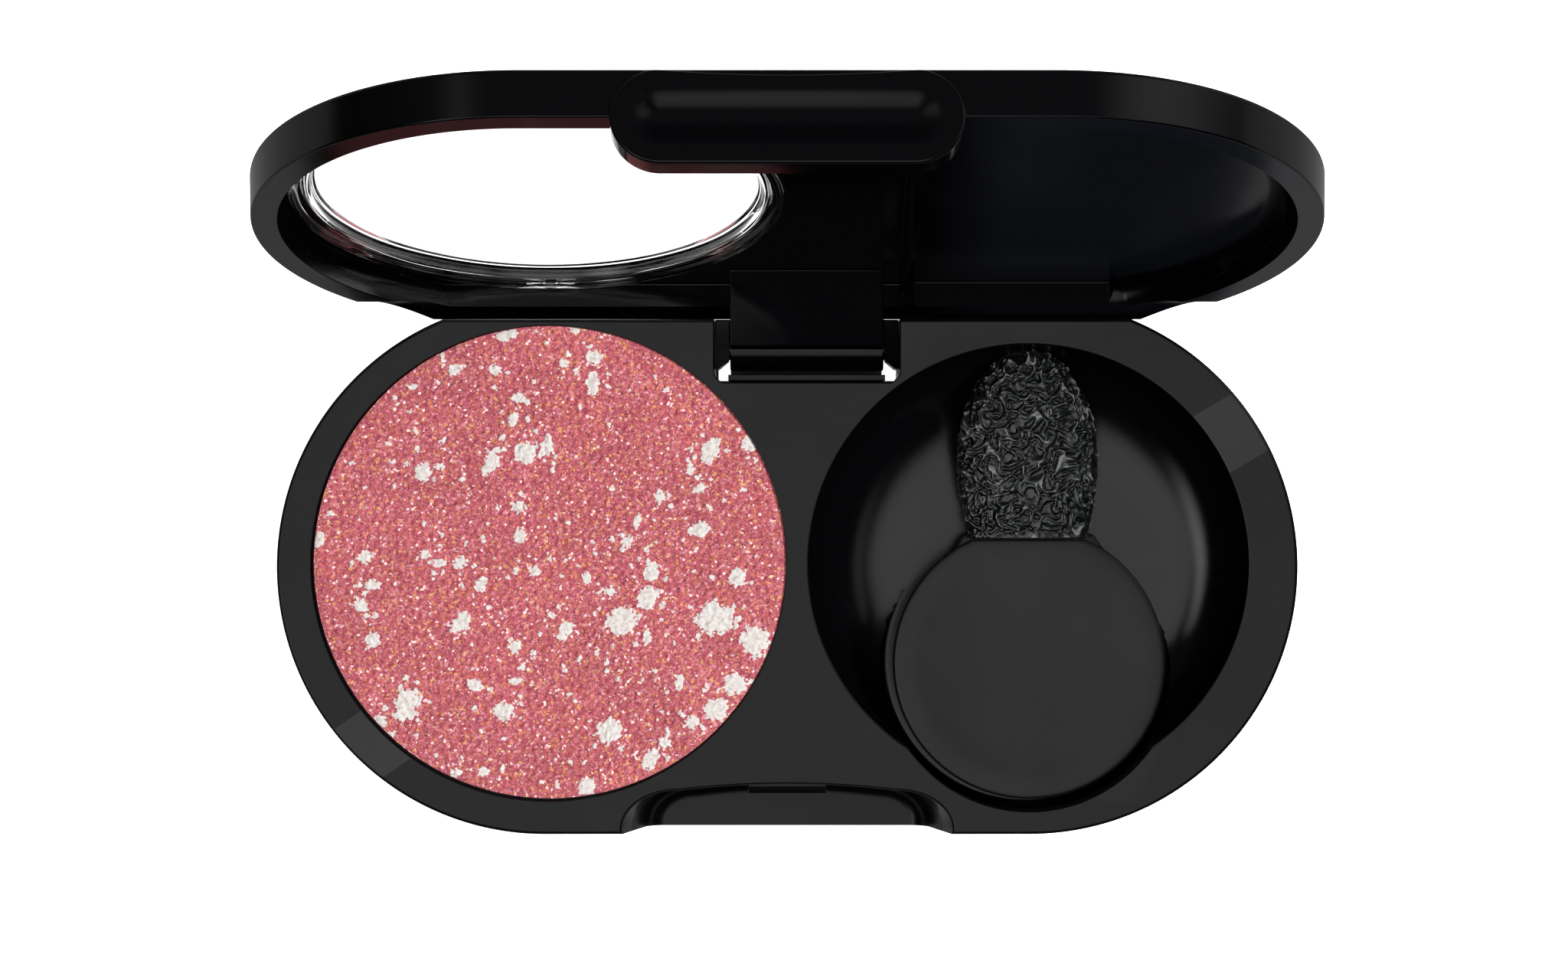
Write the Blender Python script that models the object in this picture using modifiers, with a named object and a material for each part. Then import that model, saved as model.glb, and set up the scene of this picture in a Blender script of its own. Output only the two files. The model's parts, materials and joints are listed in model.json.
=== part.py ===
"""Eyeshadow compact: one powder pan, one sponge applicator, lid with a round window.

Frame: metres, +Z up, +X to the right, +Y towards the hinge at the back.  The origin is
the middle of the case outline, on the face the case rests on.  The lid is drawn closed
about the hinge axis and then swung open with its parent empty.
All sizes below are in millimetres; the helpers turn them into metres.
"""
import math

import bmesh
import bpy
from mathutils import Matrix, Vector

for old in list(bpy.data.objects):
    bpy.data.objects.remove(old, do_unlink=True)

MM = 0.001

# ---------------------------------------------------------------- case
END_SPACING = 28.6        # distance between the two end arcs' centres
END_RADIUS = 15.7         # radius of the rounded ends
BACK_FLAT = 14.55         # the hinge side is cut flat here
SEAM_Z = 6.6              # joint between base shell and tray
PLATE_Z = 9.0             # top face of the tray, where the lid meets it
SHELL_WALL = 0.8
SHELL_FLOOR = 1.0
FIT = 0.05                # assembly gap between faces that touch

# ---------------------------------------------------------------- powder
PAN_CENTRE = (-14.0, 0.2)
PAN_POCKET_R = 13.95
PAN_POCKET_FLOOR = 7.2
PAN_R = PAN_POCKET_R - 0.2
PAN_TOP = 8.74
PAN_SHEET = 0.3
GLUE_R = 11.5
GLUE_TOP = PAN_POCKET_FLOOR + 0.17
PAN_BOTTOM = GLUE_TOP + FIT
CAKE_TOP = 8.90

# ---------------------------------------------------------------- label under the case
LABEL_R = 9.0
LABEL_BOTTOM = 0.08
LABEL_RECESS_R = LABEL_R + 0.3
LABEL_RECESS_Z = 0.25

# ---------------------------------------------------------------- applicator
WELL_CENTRE = (14.15, 0.17)
WELL_R = 12.9
GRIP_X, GRIP_Y = 14.2, -5.65
GRIP_R = 8.0
GRIP_WELL_R = 8.69
WELL_FLOOR = 4.6
WELL_FLAT_R = 9.3         # flat part of the bowl, before its wall curves up
WELL_COVE_TOP = 8.75
BOWL_BOTTOM_T = 0.8       # material left under the well
BOWL_WALL = 0.65          # material left round the well
GRIP_BOWL_WALL = 0.55     # material left round the grip's part of the well
GRIP_Z0, GRIP_Z1 = WELL_FLOOR + FIT, 8.70
GRIP_T = GRIP_Z1 - GRIP_Z0
SPONGE_W, SPONGE_T = 8.3, 2.7
SPONGE_Y0, SPONGE_Y1 = 1.72, 12.75
SPONGE_EXTRA = 0.12       # added to the half sizes of the mesh before it is subdivided
# from the grip axis
SPONGE_MID = 7.35 - GRIP_Z0
HANDLE_FLAT_Y = SPONGE_Y0 - GRIP_Y - 0.1
STEM_HALF_W, STEM_HALF_T, STEM_REACH = 1.6, 0.5, 6.5

# ---------------------------------------------------------------- hinge
HINGE_Y, HINGE_Z = 12.8, SEAM_Z
HINGE_MID_X = 1.16
LUG_W = 9.05
LUG_X0 = HINGE_MID_X - LUG_W / 2
LUG_X1 = HINGE_MID_X + LUG_W / 2
NOTCH_W = 10.9
NOTCH_X0 = HINGE_MID_X - NOTCH_W / 2
NOTCH_X1 = HINGE_MID_X + NOTCH_W / 2
NOTCH_Y = 10.82
NOTCH_FLOOR = 1.1
NOTCH_CORNER = 0.6
KNUCKLE_R = 1.25
PIN_R = 0.60
PIN_LEN = 14.2
PIN_X0 = HINGE_MID_X - PIN_LEN / 2
PIN_X1 = HINGE_MID_X + PIN_LEN / 2
BORE_R = PIN_R + FIT
BORE_END_GAP = 0.1
EAR_Y0, EAR_Y1 = 11.65, 13.65
EAR_OUT = 2.3             # how far the ears reach outwards from the notch
EAR_BOTTOM = 5.2
EAR_Z = 7.95              # top of the ears that carry the pin, at their front
EAR_FALL = 0.30           # slope of their top face, down towards the back
BAY_GAP = 0.1             # gap between the ears and their bays in the shell
POST_HALF_T, POST_BOTTOM, POST_TOP = 0.52, 0.5, 5.94
RIB_Y0, RIB_Y1, RIB_Z = 11.02, 11.36, 5.85   # dust rib between the lug and the case
OPEN_ANGLE = 108.2        # how far the lid stands open at rest
STOP_ANGLE = 112.0        # the lid's back edge meets the case here
STOP_Y = 1.80             # distance of the stop face from the hinge axis
SWING_R = 2.92            # relief round the hinge axis in the lid's back edge

# ---------------------------------------------------------------- lid
LID_DEPTH = 2.80
LID_TOP = PLATE_Z + LID_DEPTH
LID_GAP = 0.04
LID_R = END_RADIUS + 0.3  # stands a little proud of the case all round
LID_WALL = 1.65
LID_BACK_WALL = 1.39
LID_CEILING = 0.84
CEILING_Z = LID_TOP - LID_CEILING
WINDOW_CENTRE = (-14.12, -0.95)
WINDOW_R = 12.99
FLANGE_R = 13.95
FLANGE_T = 0.45
TAB_W, TAB_H, TAB_T = 18.7, 5.4, 1.60
TAB_FACE_Y = -16.25
WEB_FRONT = 1.88          # front face of the lug, ahead of the hinge axis
WEB_DROP = 0.39           # the lug's front face starts this far below the axis

# ---------------------------------------------------------------- clasp recess
RECESS_HALF = 9.72
RECESS_BACK = -12.71
RECESS_BOW = 0.0093       # its back edge falls by this times x squared
RECESS_CORNER = 1.35
RECESS_OPEN_Y = -18.0
RECESS_FLOOR = 2.6
RECESS_COVE = 1.3

# ---------------------------------------------------------------- overshoot of cutters
PLATE_CUT_TOP = 10.0      # above the tray
CUT_TOP = 12.0
KEEP_TOP = 13.0           # above the cutters that reach CUT_TOP
LID_CUT_BOTTOM, LID_CUT_TOP = 6.0, 14.0
BACK_CUT_Y = 17.0         # behind the case
LONG_X = 40.0             # past both ends of the case

parts = bpy.data.collections.new("eyeshadow_compact")
cutters = bpy.data.collections.new("cutters")
bpy.context.scene.collection.children.link(parts)
bpy.context.scene.collection.children.link(cutters)


# ------------------------------------------------------------------ objects
def material(name, color, roughness, metallic=0.0, transmission=0.0):
    mat = bpy.data.materials.new(name)
    mat.use_nodes = True
    inputs = mat.node_tree.nodes["Principled BSDF"].inputs
    inputs["Base Color"].default_value = (*color, 1.0)
    inputs["Roughness"].default_value = roughness
    inputs["Metallic"].default_value = metallic
    inputs["Transmission Weight"].default_value = transmission
    return mat


def add(name, mesh, mat=None):
    """A piece if it has a material, otherwise a hidden cutter."""
    ob = bpy.data.objects.new(name, mesh)
    if mat:
        parts.objects.link(ob)
        mesh.materials.append(mat)
    else:
        cutters.objects.link(ob)
        ob.hide_render = True
        ob.display_type = 'WIRE'
    return ob


def add_bmesh(name, bm, mat=None):
    mesh = bpy.data.meshes.new(name)
    bm.to_mesh(mesh)
    bm.free()
    return add(name, mesh, mat)


def axis_empty(name, x, y, z):
    empty = bpy.data.objects.new(name, None)
    parts.objects.link(empty)
    empty.location = (x * MM, y * MM, z * MM)
    return empty


# ------------------------------------------------------------------ solids
def tidy(mesh):
    """Merges doubled points and flat neighbouring faces, and turns normals outwards."""
    bm = bmesh.new()
    bm.from_mesh(mesh)
    bmesh.ops.remove_doubles(bm, verts=bm.verts, dist=1e-6)
    bmesh.ops.dissolve_limit(bm, angle_limit=0.002, verts=bm.verts, edges=bm.edges)
    bmesh.ops.recalc_face_normals(bm, faces=bm.faces)
    bm.to_mesh(mesh)
    bm.free()


def slab(name, outline, z0, z1, mat=None):
    """A flat outline extruded from z0 to z1."""
    curve = bpy.data.curves.new(name + "_outline", 'CURVE')
    curve.dimensions = '2D'
    curve.fill_mode = 'BOTH'
    curve.extrude = (z1 - z0) / 2 * MM
    spline = curve.splines.new('POLY')
    spline.points.add(len(outline) - 1)
    for point, (x, y) in zip(spline.points, outline):
        point.co = (x * MM, y * MM, 0, 1)
    spline.use_cyclic_u = True
    curve_ob = bpy.data.objects.new(name + "_curve", curve)
    cutters.objects.link(curve_ob)
    depsgraph = bpy.context.evaluated_depsgraph_get()
    mesh = bpy.data.meshes.new_from_object(curve_ob.evaluated_get(depsgraph))
    bpy.data.objects.remove(curve_ob, do_unlink=True)
    mesh.materials.clear()
    mesh.transform(Matrix.Translation((0, 0, (z0 + z1) / 2 * MM)))
    tidy(mesh)
    mesh.name = name
    return add(name, mesh, mat)


def cylinder(name, radius, length, placement, segments, mat):
    bm = bmesh.new()
    bmesh.ops.create_cone(bm, cap_ends=True, segments=segments, radius1=radius * MM,
                          radius2=radius * MM, depth=length * MM, matrix=placement)
    return add_bmesh(name, bm, mat)


def drum(name, centre, radius, z0, z1, mat=None, segments=64):
    """An upright cylinder."""
    x, y = centre
    placement = Matrix.Translation((x * MM, y * MM, (z0 + z1) / 2 * MM))
    return cylinder(name, radius, z1 - z0, placement, segments, mat)


def rod(name, x0, x1, y, z, radius, mat=None, segments=32):
    """A cylinder lying along X."""
    placement = (Matrix.Translation(((x0 + x1) / 2 * MM, y * MM, z * MM))
                 @ Matrix.Rotation(math.pi / 2, 4, 'Y'))
    return cylinder(name, radius, x1 - x0, placement, segments, mat)


def block(name, low, high):
    """A box cutter between two opposite corners."""
    bm = bmesh.new()
    size = [(b - a) * MM for a, b in zip(low, high)]
    middle = [(b + a) / 2 * MM for a, b in zip(low, high)]
    placement = Matrix.Translation(middle) @ Matrix.Diagonal((*size, 1.0))
    bmesh.ops.create_cube(bm, size=1.0, matrix=placement)
    return add_bmesh(name, bm)


def turned(name, profile, centre=(0, 0), mat=None, steps=56):
    """Profile (r, z) runs down the outer side, from the axis at the top
    to the axis at the bottom."""
    bm = bmesh.new()
    verts = [bm.verts.new((r * MM, 0, z * MM)) for r, z in profile]
    for start, end in zip(verts, verts[1:]):
        bm.edges.new((start, end))
    ob = add_bmesh(name, bm, mat)
    screw = ob.modifiers.new("turn", 'SCREW')
    screw.steps = steps
    screw.render_steps = steps
    screw.use_merge_vertices = True
    screw.merge_threshold = 0.00001
    screw.use_smooth_shade = True
    ob.location = (centre[0] * MM, centre[1] * MM, 0)
    return ob


# ------------------------------------------------------------------ modifiers and shading
def boolean(ob, tool, operation):
    mod = ob.modifiers.new(operation.lower() + "_" + tool.name, 'BOOLEAN')
    mod.operation = operation
    mod.solver = 'EXACT'
    mod.object = tool


def cut(ob, *tools):
    for tool in tools:
        boolean(ob, tool, 'DIFFERENCE')


def join(ob, *tools):
    for tool in tools:
        boolean(ob, tool, 'UNION')


def intersect(ob, tool):
    boolean(ob, tool, 'INTERSECT')


def bevel_edges(ob, width, segments, test=lambda point: True):
    """Rounds the sharp edges whose two ends both pass the test."""
    sharp_angle = 0.6
    bm = bmesh.new()
    bm.from_mesh(ob.data)
    weights = []
    for edge in bm.edges:
        sharp = len(edge.link_faces) == 2 and edge.calc_face_angle() > sharp_angle
        chosen = sharp and all(test(vert.co / MM) for vert in edge.verts)
        weights.append(1.0 if chosen else 0.0)
    bm.free()
    attribute = ob.data.attributes.new("bevel_weight_edge", 'FLOAT', 'EDGE')
    attribute.data.foreach_set("value", weights)
    mod = ob.modifiers.new("edge_round", 'BEVEL')
    mod.limit_method = 'WEIGHT'
    mod.width = width * MM
    mod.segments = segments
    mod.use_clamp_overlap = True


def smooth(ob, angle=35):
    ob.data.shade_smooth()
    ob.data.set_sharp_from_angle(angle=math.radians(angle))


# ------------------------------------------------------------------ outlines
def stadium(radius, half=END_SPACING / 2, back=None, segments=22):
    """Round-ended outline; the side towards +Y is cut flat at back."""
    top = math.pi / 2 if back is None else math.asin(back / radius)
    points = []
    for centre_x, start in ((half, -math.pi / 2), (-half, math.pi - top)):
        for i in range(segments + 1):
            angle = start + (top + math.pi / 2) * i / segments
            points.append((centre_x + radius * math.cos(angle), radius * math.sin(angle)))
    return points


def case_outline(inset=0.0):
    return stadium(END_RADIUS - inset, back=BACK_FLAT - inset)


def rounded_box(x0, y0, x1, y1, radius, segments=4):
    corners = ((x1 - radius, y0 + radius, -90), (x1 - radius, y1 - radius, 0),
               (x0 + radius, y1 - radius, 90), (x0 + radius, y0 + radius, 180))
    points = []
    for corner_x, corner_y, start in corners:
        for i in range(segments + 1):
            angle = math.radians(start + 90 * i / segments)
            points.append((corner_x + radius * math.cos(angle),
                           corner_y + radius * math.sin(angle)))
    return points


def recess_outline():
    """Clasp recess: a shallow bowed back with rounded corners, open at the front."""
    corner_x = RECESS_HALF - RECESS_CORNER
    bow_steps, corner_steps = 10, 5

    def bow(x):
        return RECESS_BACK - RECESS_BOW * x * x

    def corner_point(centre_x, degrees):
        angle = math.radians(degrees)
        return (centre_x + RECESS_CORNER * math.cos(angle),
                bow(corner_x) - RECESS_CORNER + RECESS_CORNER * math.sin(angle))

    points = [(-RECESS_HALF, RECESS_OPEN_Y)]
    for i in range(corner_steps):
        points.append(corner_point(-corner_x, 180 - 90 * i / corner_steps))
    for i in range(bow_steps + 1):
        x = -corner_x + 2 * corner_x * i / bow_steps
        points.append((x, bow(x)))
    for i in range(1, corner_steps + 1):
        points.append(corner_point(corner_x, 90 - 90 * i / corner_steps))
    points.append((RECESS_HALF, RECESS_OPEN_Y))
    return points[::-1]


# ------------------------------------------------------------------ materials
satin_black = material("satin_black_plastic", color=(0.030, 0.031, 0.032), roughness=0.34)
tray_black = material("tray_black_plastic", color=(0.028, 0.029, 0.030), roughness=0.38)
gloss_black = material("gloss_black_plastic", color=(0.012, 0.012, 0.013), roughness=0.16)
grip_black = material("grip_black_plastic", color=(0.032, 0.032, 0.033), roughness=0.42)
clear = material("clear_plastic", color=(0.98, 0.98, 0.98), roughness=0.03, transmission=1.0)
tin = material("pan_aluminium", color=(0.78, 0.78, 0.78), roughness=0.3, metallic=1.0)
steel = material("pin_steel", color=(0.55, 0.55, 0.56), roughness=0.25, metallic=1.0)
powder = material("pressed_rose_powder", color=(0.50, 0.13, 0.16), roughness=0.55)
glue = material("pan_glue", color=(0.72, 0.68, 0.58), roughness=0.45)
foam = material("black_sponge", color=(0.008, 0.008, 0.009), roughness=0.5)
paper = material("blank_label_paper", color=(0.80, 0.80, 0.78), roughness=0.6)


# ------------------------------------------------------------------ cutters shared by the case
def hinge_notch():
    outline = rounded_box(NOTCH_X0, NOTCH_Y, NOTCH_X1, BACK_CUT_Y, NOTCH_CORNER)
    return slab("notch_cut", outline, NOTCH_FLOOR, PLATE_CUT_TOP)


def clasp_recess():
    recess = slab("recess_cut", recess_outline(), RECESS_FLOOR, PLATE_CUT_TOP)
    bevel_edges(recess, RECESS_COVE, 5, lambda point: point.z < RECESS_FLOOR + 0.01)
    return recess


def bowl_form(name, gap, top, drum_top):
    """Outside of the applicator bowl, grown by gap and kept inside the shell wall."""
    inset = SHELL_WALL + (FIT - gap)
    form = slab(name, case_outline(inset), WELL_FLOOR - (BOWL_BOTTOM_T + gap), top)
    well_round = drum(name + "_round", WELL_CENTRE, WELL_R + (BOWL_WALL + gap),
                      0.0, drum_top, segments=48)
    grip_round = drum(name + "_grip", (GRIP_X, GRIP_Y), GRIP_WELL_R + (GRIP_BOWL_WALL + gap),
                      0.0, drum_top, segments=48)
    join(well_round, grip_round)
    intersect(form, well_round)
    return form


# ------------------------------------------------------------------ base shell
def shell_cavity():
    """Inside of the shell, leaving walls round the hinge notch and the clasp recess."""
    cavity = slab("shell_cavity", case_outline(SHELL_WALL), SHELL_FLOOR, CUT_TOP)
    notch_wall = rounded_box(NOTCH_X0 - SHELL_WALL, NOTCH_Y - SHELL_WALL,
                             NOTCH_X1 + SHELL_WALL, 18.0, NOTCH_CORNER)
    recess_wall = [(x * 1.06, y + 0.75) for x, y in recess_outline()]
    cut(cavity,
        slab("keep_notch_wall", notch_wall, 0.0, KEEP_TOP),
        slab("keep_recess_wall", recess_wall, 0.0, KEEP_TOP))
    return cavity


def pin_bays():
    """Room in the shell for the tray's pin ears."""
    y0, y1 = EAR_Y0 - BAY_GAP, EAR_Y1 + BAY_GAP
    z0, z1 = EAR_BOTTOM - BAY_GAP, 8.0
    reach = EAR_OUT + BAY_GAP
    return (block("pin_bay_left", (NOTCH_X0 - reach, y0, z0), (NOTCH_X0, y1, z1)),
            block("pin_bay_right", (NOTCH_X1, y0, z0), (NOTCH_X1 + reach, y1, z1)))


def shell_posts():
    """Upright posts under the two ends of the pin."""
    spans = (("post_left", NOTCH_X0 - 1.6, NOTCH_X0 - 0.4),
             ("post_right", NOTCH_X1 + 0.4, NOTCH_X1 + 1.5))
    return [block(name, (x0, HINGE_Y - POST_HALF_T, POST_BOTTOM),
                  (x1, HINGE_Y + POST_HALF_T, POST_TOP)) for name, x0, x1 in spans]


def notch_slots():
    """Slots through the notch floor, either side of the tongue below the lug."""
    side_gap = 0.05
    spans = (("slot_left", NOTCH_X0, LUG_X0 - side_gap),
             ("slot_right", LUG_X1 + side_gap, NOTCH_X1))
    return [block(name, (x0, NOTCH_Y + 0.3, -1.0), (x1, BACK_CUT_Y, 2.0))
            for name, x0, x1 in spans]


def build_base_shell(notch, recess):
    shell = slab("base_shell", case_outline(), 0.0, SEAM_Z, satin_black)
    bevel_edges(shell, 0.7, 3, lambda point: point.z < 0.01)
    cut(shell, shell_cavity(), *pin_bays())
    join(shell, *shell_posts())
    cut(shell, notch, *notch_slots())
    rib_end = 0.14
    join(shell, block("notch_rib", (LUG_X0 - rib_end, RIB_Y0, 0.6),
                      (LUG_X1 + rib_end, RIB_Y1, RIB_Z)))
    label_recess = drum("label_recess", PAN_CENTRE, LABEL_RECESS_R, -1.0, LABEL_RECESS_Z,
                        segments=40)
    # room for the tray's applicator bowl beside the clasp ledge
    bowl_room = bowl_form("bowl_room", gap=FIT, top=CUT_TOP, drum_top=KEEP_TOP)
    cut(shell, recess, label_recess, bowl_room)


# ------------------------------------------------------------------ base tray
def pin_ears():
    """Ears that carry the pin: they reach in to the lug and are chamfered at the front."""
    inner = (NOTCH_W - LUG_W) / 2 - 0.08
    # (distance from the notch side towards the lug, y)
    outline = [(-EAR_OUT, EAR_Y0), (0.26, EAR_Y0), (inner, 12.2), (inner, 14.5),
               (0.03, 14.5), (0.03, EAR_Y1), (-EAR_OUT, EAR_Y1)]
    left = slab("pin_ear_left", [(NOTCH_X0 + x, y) for x, y in outline], EAR_BOTTOM, EAR_Z)
    right = slab("pin_ear_right", [(NOTCH_X1 - x, y) for x, y in outline[::-1]],
                 EAR_BOTTOM, EAR_Z)
    for ear in (left, right):
        for vert in ear.data.vertices:
            if vert.co.z > 6.0 * MM:
                vert.co.z = (EAR_Z - EAR_FALL * (vert.co.y / MM - EAR_Y0)) * MM
    return left, right


def applicator_well():
    """Round well with a coved wall, joined to a straight-sided round for the grip."""
    cove_r = WELL_R - WELL_FLAT_R
    cove_h = WELL_COVE_TOP - WELL_FLOOR
    cove = [(WELL_FLAT_R + cove_r * math.cos(math.radians(degrees)),
             WELL_COVE_TOP - cove_h * math.sin(math.radians(degrees)))
            for degrees in range(0, 91, 15)]
    profile = [(0, CUT_TOP), (WELL_R, CUT_TOP)] + cove + [(0, WELL_FLOOR)]
    well = turned("well_cut", profile, WELL_CENTRE, steps=64)
    join(well, drum("well_grip_cut", (GRIP_X, GRIP_Y), GRIP_WELL_R, WELL_FLOOR, CUT_TOP))
    return well


def build_base_tray(notch, recess):
    tray = slab("base_tray", case_outline(), SEAM_Z + FIT, PLATE_Z, tray_black)
    bevel_edges(tray, 0.22, 2, lambda point: point.z > PLATE_Z - 0.01)
    join(tray, bowl_form("well_bowl", gap=0.0, top=SEAM_Z + 0.4, drum_top=CUT_TOP))
    cut(tray, notch)
    join(tray, *pin_ears())
    pocket = drum("pan_pocket", PAN_CENTRE, PAN_POCKET_R, PAN_POCKET_FLOOR, CUT_TOP)
    cut(tray, applicator_well(), pocket, recess)
    join(tray, rod("catch_nub", -2.3, 2.3, -12.95, 8.15, 0.33, segments=12))
    # the pin's bore, open downwards
    bore_x0, bore_x1 = PIN_X0 - BORE_END_GAP, PIN_X1 + BORE_END_GAP
    cut(tray,
        block("pin_slot", (bore_x0, HINGE_Y - BORE_R, 4.0), (bore_x1, HINGE_Y + BORE_R, HINGE_Z)),
        rod("pin_bore", bore_x0, bore_x1, HINGE_Y, HINGE_Z, BORE_R))


# ------------------------------------------------------------------ glue, pan, powder, label, pin
def build_adhesive():
    drum("pan_adhesive", PAN_CENTRE, GLUE_R, PAN_POCKET_FLOOR + FIT, GLUE_TOP, glue, segments=40)


def build_pan():
    inner_r = PAN_R - PAN_SHEET
    floor = PAN_BOTTOM + PAN_SHEET
    inner_chamfer, outer_chamfer = 0.3, 0.35
    turned("powder_pan",
           [(0, floor), (inner_r - inner_chamfer, floor), (inner_r, floor + inner_chamfer),
            (inner_r, PAN_TOP), (PAN_R, PAN_TOP), (PAN_R, PAN_BOTTOM + outer_chamfer),
            (PAN_R - outer_chamfer, PAN_BOTTOM), (0, PAN_BOTTOM)],
           PAN_CENTRE, tin)


def build_cake():
    """Powder that fills the pan and covers its rim."""
    inner_r = PAN_R - PAN_SHEET - FIT
    floor = PAN_BOTTOM + PAN_SHEET
    rim_r = PAN_R - 0.03
    turned("powder_cake",
           [(0, CAKE_TOP), (PAN_R - 0.18, CAKE_TOP), (rim_r, CAKE_TOP - 0.05),
            (rim_r, PAN_TOP + FIT), (inner_r, PAN_TOP + FIT), (inner_r, floor + 0.40),
            (inner_r - 0.36, floor + FIT), (0, floor + FIT)],
           PAN_CENTRE, powder)


def build_label():
    drum("shade_label", PAN_CENTRE, LABEL_R, LABEL_BOTTOM, LABEL_RECESS_Z - FIT, paper,
         segments=40)


def build_hinge_pin():
    pin = rod("hinge_pin", PIN_X0, PIN_X1, 0, 0, PIN_R, steel)
    pin.location = (0, HINGE_Y * MM, HINGE_Z * MM)


# ------------------------------------------------------------------ lid
lid_axis = axis_empty("lid_axis", 0, HINGE_Y, HINGE_Z)
lid_axis.rotation_euler = (math.radians(-OPEN_ANGLE), 0, 0)


def on_lid(ob):
    """Takes a mesh drawn in place on the closed lid to the hinge axis."""
    ob.data.transform(Matrix.Translation((0, -HINGE_Y * MM, -HINGE_Z * MM)))
    ob.parent = lid_axis
    return ob


def axis_block(name, low, high, turn=0.0):
    """A block measured from the hinge axis, then turned about it by degrees."""
    ob = block(name, low, high)
    if turn:
        ob.data.transform(Matrix.Rotation(math.radians(turn), 4, 'X'))
    ob.parent = lid_axis
    return ob


def stop_relief():
    """Wedge taken off the lid's back edge, up to the face that meets the case."""
    wedge = axis_block("stop_wedge", (-LONG_X, 0.0, 2.0), (LONG_X, 3.0, 3.4))
    cut(wedge, axis_block("stop_face", (-LONG_X, STOP_Y, -12), (LONG_X, 8.0, 12), STOP_ANGLE))
    # guide blocks beside the stop face; they cut nothing
    axis_block("stop_face_span", (-LONG_X, -2.0, -3.0), (LONG_X, 3.0, 3.0))
    axis_block("stop_face_below", (-LONG_X, -9.0, -12.0), (LONG_X, STOP_Y, 12.0), STOP_ANGLE)
    return wedge


def hinge_lug():
    """Web and knuckle, one moulding with the lid."""
    web = on_lid(block("lug_web", (LUG_X0, HINGE_Y - WEB_FRONT, HINGE_Z - WEB_DROP),
                       (LUG_X1, HINGE_Y + KNUCKLE_R, CEILING_Z + 0.3)))
    cut(web, on_lid(block("lug_back_round", (LUG_X0 - 1, HINGE_Y, HINGE_Z - 3),
                          (LUG_X1 + 1, HINGE_Y + 3, HINGE_Z))))
    join(web, on_lid(rod("lug_knuckle", LUG_X0, LUG_X1, HINGE_Y, HINGE_Z, KNUCKLE_R,
                         segments=40)))
    return web


def clasp_tab():
    """A pill-shaped thumb piece across the front wall, and its hook."""
    outline = stadium(TAB_H / 2, half=(TAB_W - TAB_H) / 2, segments=10)
    tab = slab("clasp_tab", outline, -TAB_T / 2, TAB_T / 2)
    middle = (0, (TAB_FACE_Y + TAB_T / 2) * MM, (LID_TOP - 0.05 - TAB_H / 2) * MM)
    tab.data.transform(Matrix.Translation(middle) @ Matrix.Rotation(math.pi / 2, 4, 'X'))
    bevel_edges(tab, 0.2, 2)
    on_lid(tab)
    join(tab, on_lid(block("clasp_hook", (-2.2, -14.9, 6.95), (2.2, -13.5, 7.5))))
    return tab


def build_lid_shell():
    shell = slab("lid_shell", stadium(LID_R, back=BACK_FLAT), PLATE_Z + LID_GAP, LID_TOP,
                 gloss_black)
    bevel_edges(shell, 0.15, 2)
    on_lid(shell)
    inside = stadium(LID_R - LID_WALL, back=BACK_FLAT - LID_BACK_WALL)
    cavity = on_lid(slab("lid_cavity", inside, LID_CUT_BOTTOM, CEILING_Z))
    # relief so the lid's back edge can swing past the case's back edge
    swing = on_lid(rod("swing_relief", -LONG_X, LONG_X, HINGE_Y, HINGE_Z, SWING_R, segments=96))
    cut(shell, cavity, swing, stop_relief())
    join(shell, hinge_lug())
    cut(shell, on_lid(rod("lug_bore", LUG_X0 - 1, LUG_X1 + 1, HINGE_Y, HINGE_Z, BORE_R)))
    join(shell, clasp_tab())
    cut(shell, on_lid(drum("window_aperture", WINDOW_CENTRE, WINDOW_R + 0.06,
                           9.0, LID_CUT_TOP)))


# ------------------------------------------------------------------ window
def window_flange():
    """Bonding ring under the lid's ceiling."""
    top = CEILING_Z - FIT
    flange = on_lid(drum("window_flange", WINDOW_CENTRE, FLANGE_R,
                         CEILING_Z - FLANGE_T - FIT, top))
    opening = on_lid(drum("window_flange_open", WINDOW_CENTRE, WINDOW_R - 0.35,
                          0.0, LID_CUT_TOP))
    room = on_lid(slab("window_flange_room", stadium(LID_R - LID_WALL - 0.1),
                       LID_CUT_BOTTOM, LID_CUT_TOP))
    intersect(flange, room)
    cut(flange, opening)
    return flange


def build_lid_window():
    """A clear plug with its flange, trimmed clear of the lid's back wall and the lug."""
    window = on_lid(drum("lid_window", WINDOW_CENTRE, WINDOW_R, CEILING_Z - FIT - 0.12,
                         LID_TOP - 0.03, clear))
    join(window, window_flange())
    back_y = BACK_FLAT - LID_BACK_WALL - 0.06
    cut(window,
        on_lid(block("flange_trim", (-LONG_X, back_y, LID_CUT_BOTTOM),
                     (LONG_X, 20, LID_CUT_TOP))),
        on_lid(block("flange_lug_trim", (LUG_X0 - 0.3, 9.0, LID_CUT_BOTTOM),
                     (10, 20, LID_CUT_TOP))))


# ------------------------------------------------------------------ applicator
grip_axis = axis_empty("applicator_axis", GRIP_X, GRIP_Y, GRIP_Z0)

# Handle section from the axis outwards: (radius, depth below the face); both faces alike
HANDLE_FACE = [(0, 0.35), (4.6, 0.30), (5.9, 0.06), (6.6, 0), (7.4, 0.08),
               (GRIP_R - 0.12, 0.38), (GRIP_R, 0.8)]


def on_grip(ob):
    ob.parent = grip_axis
    return ob


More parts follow.
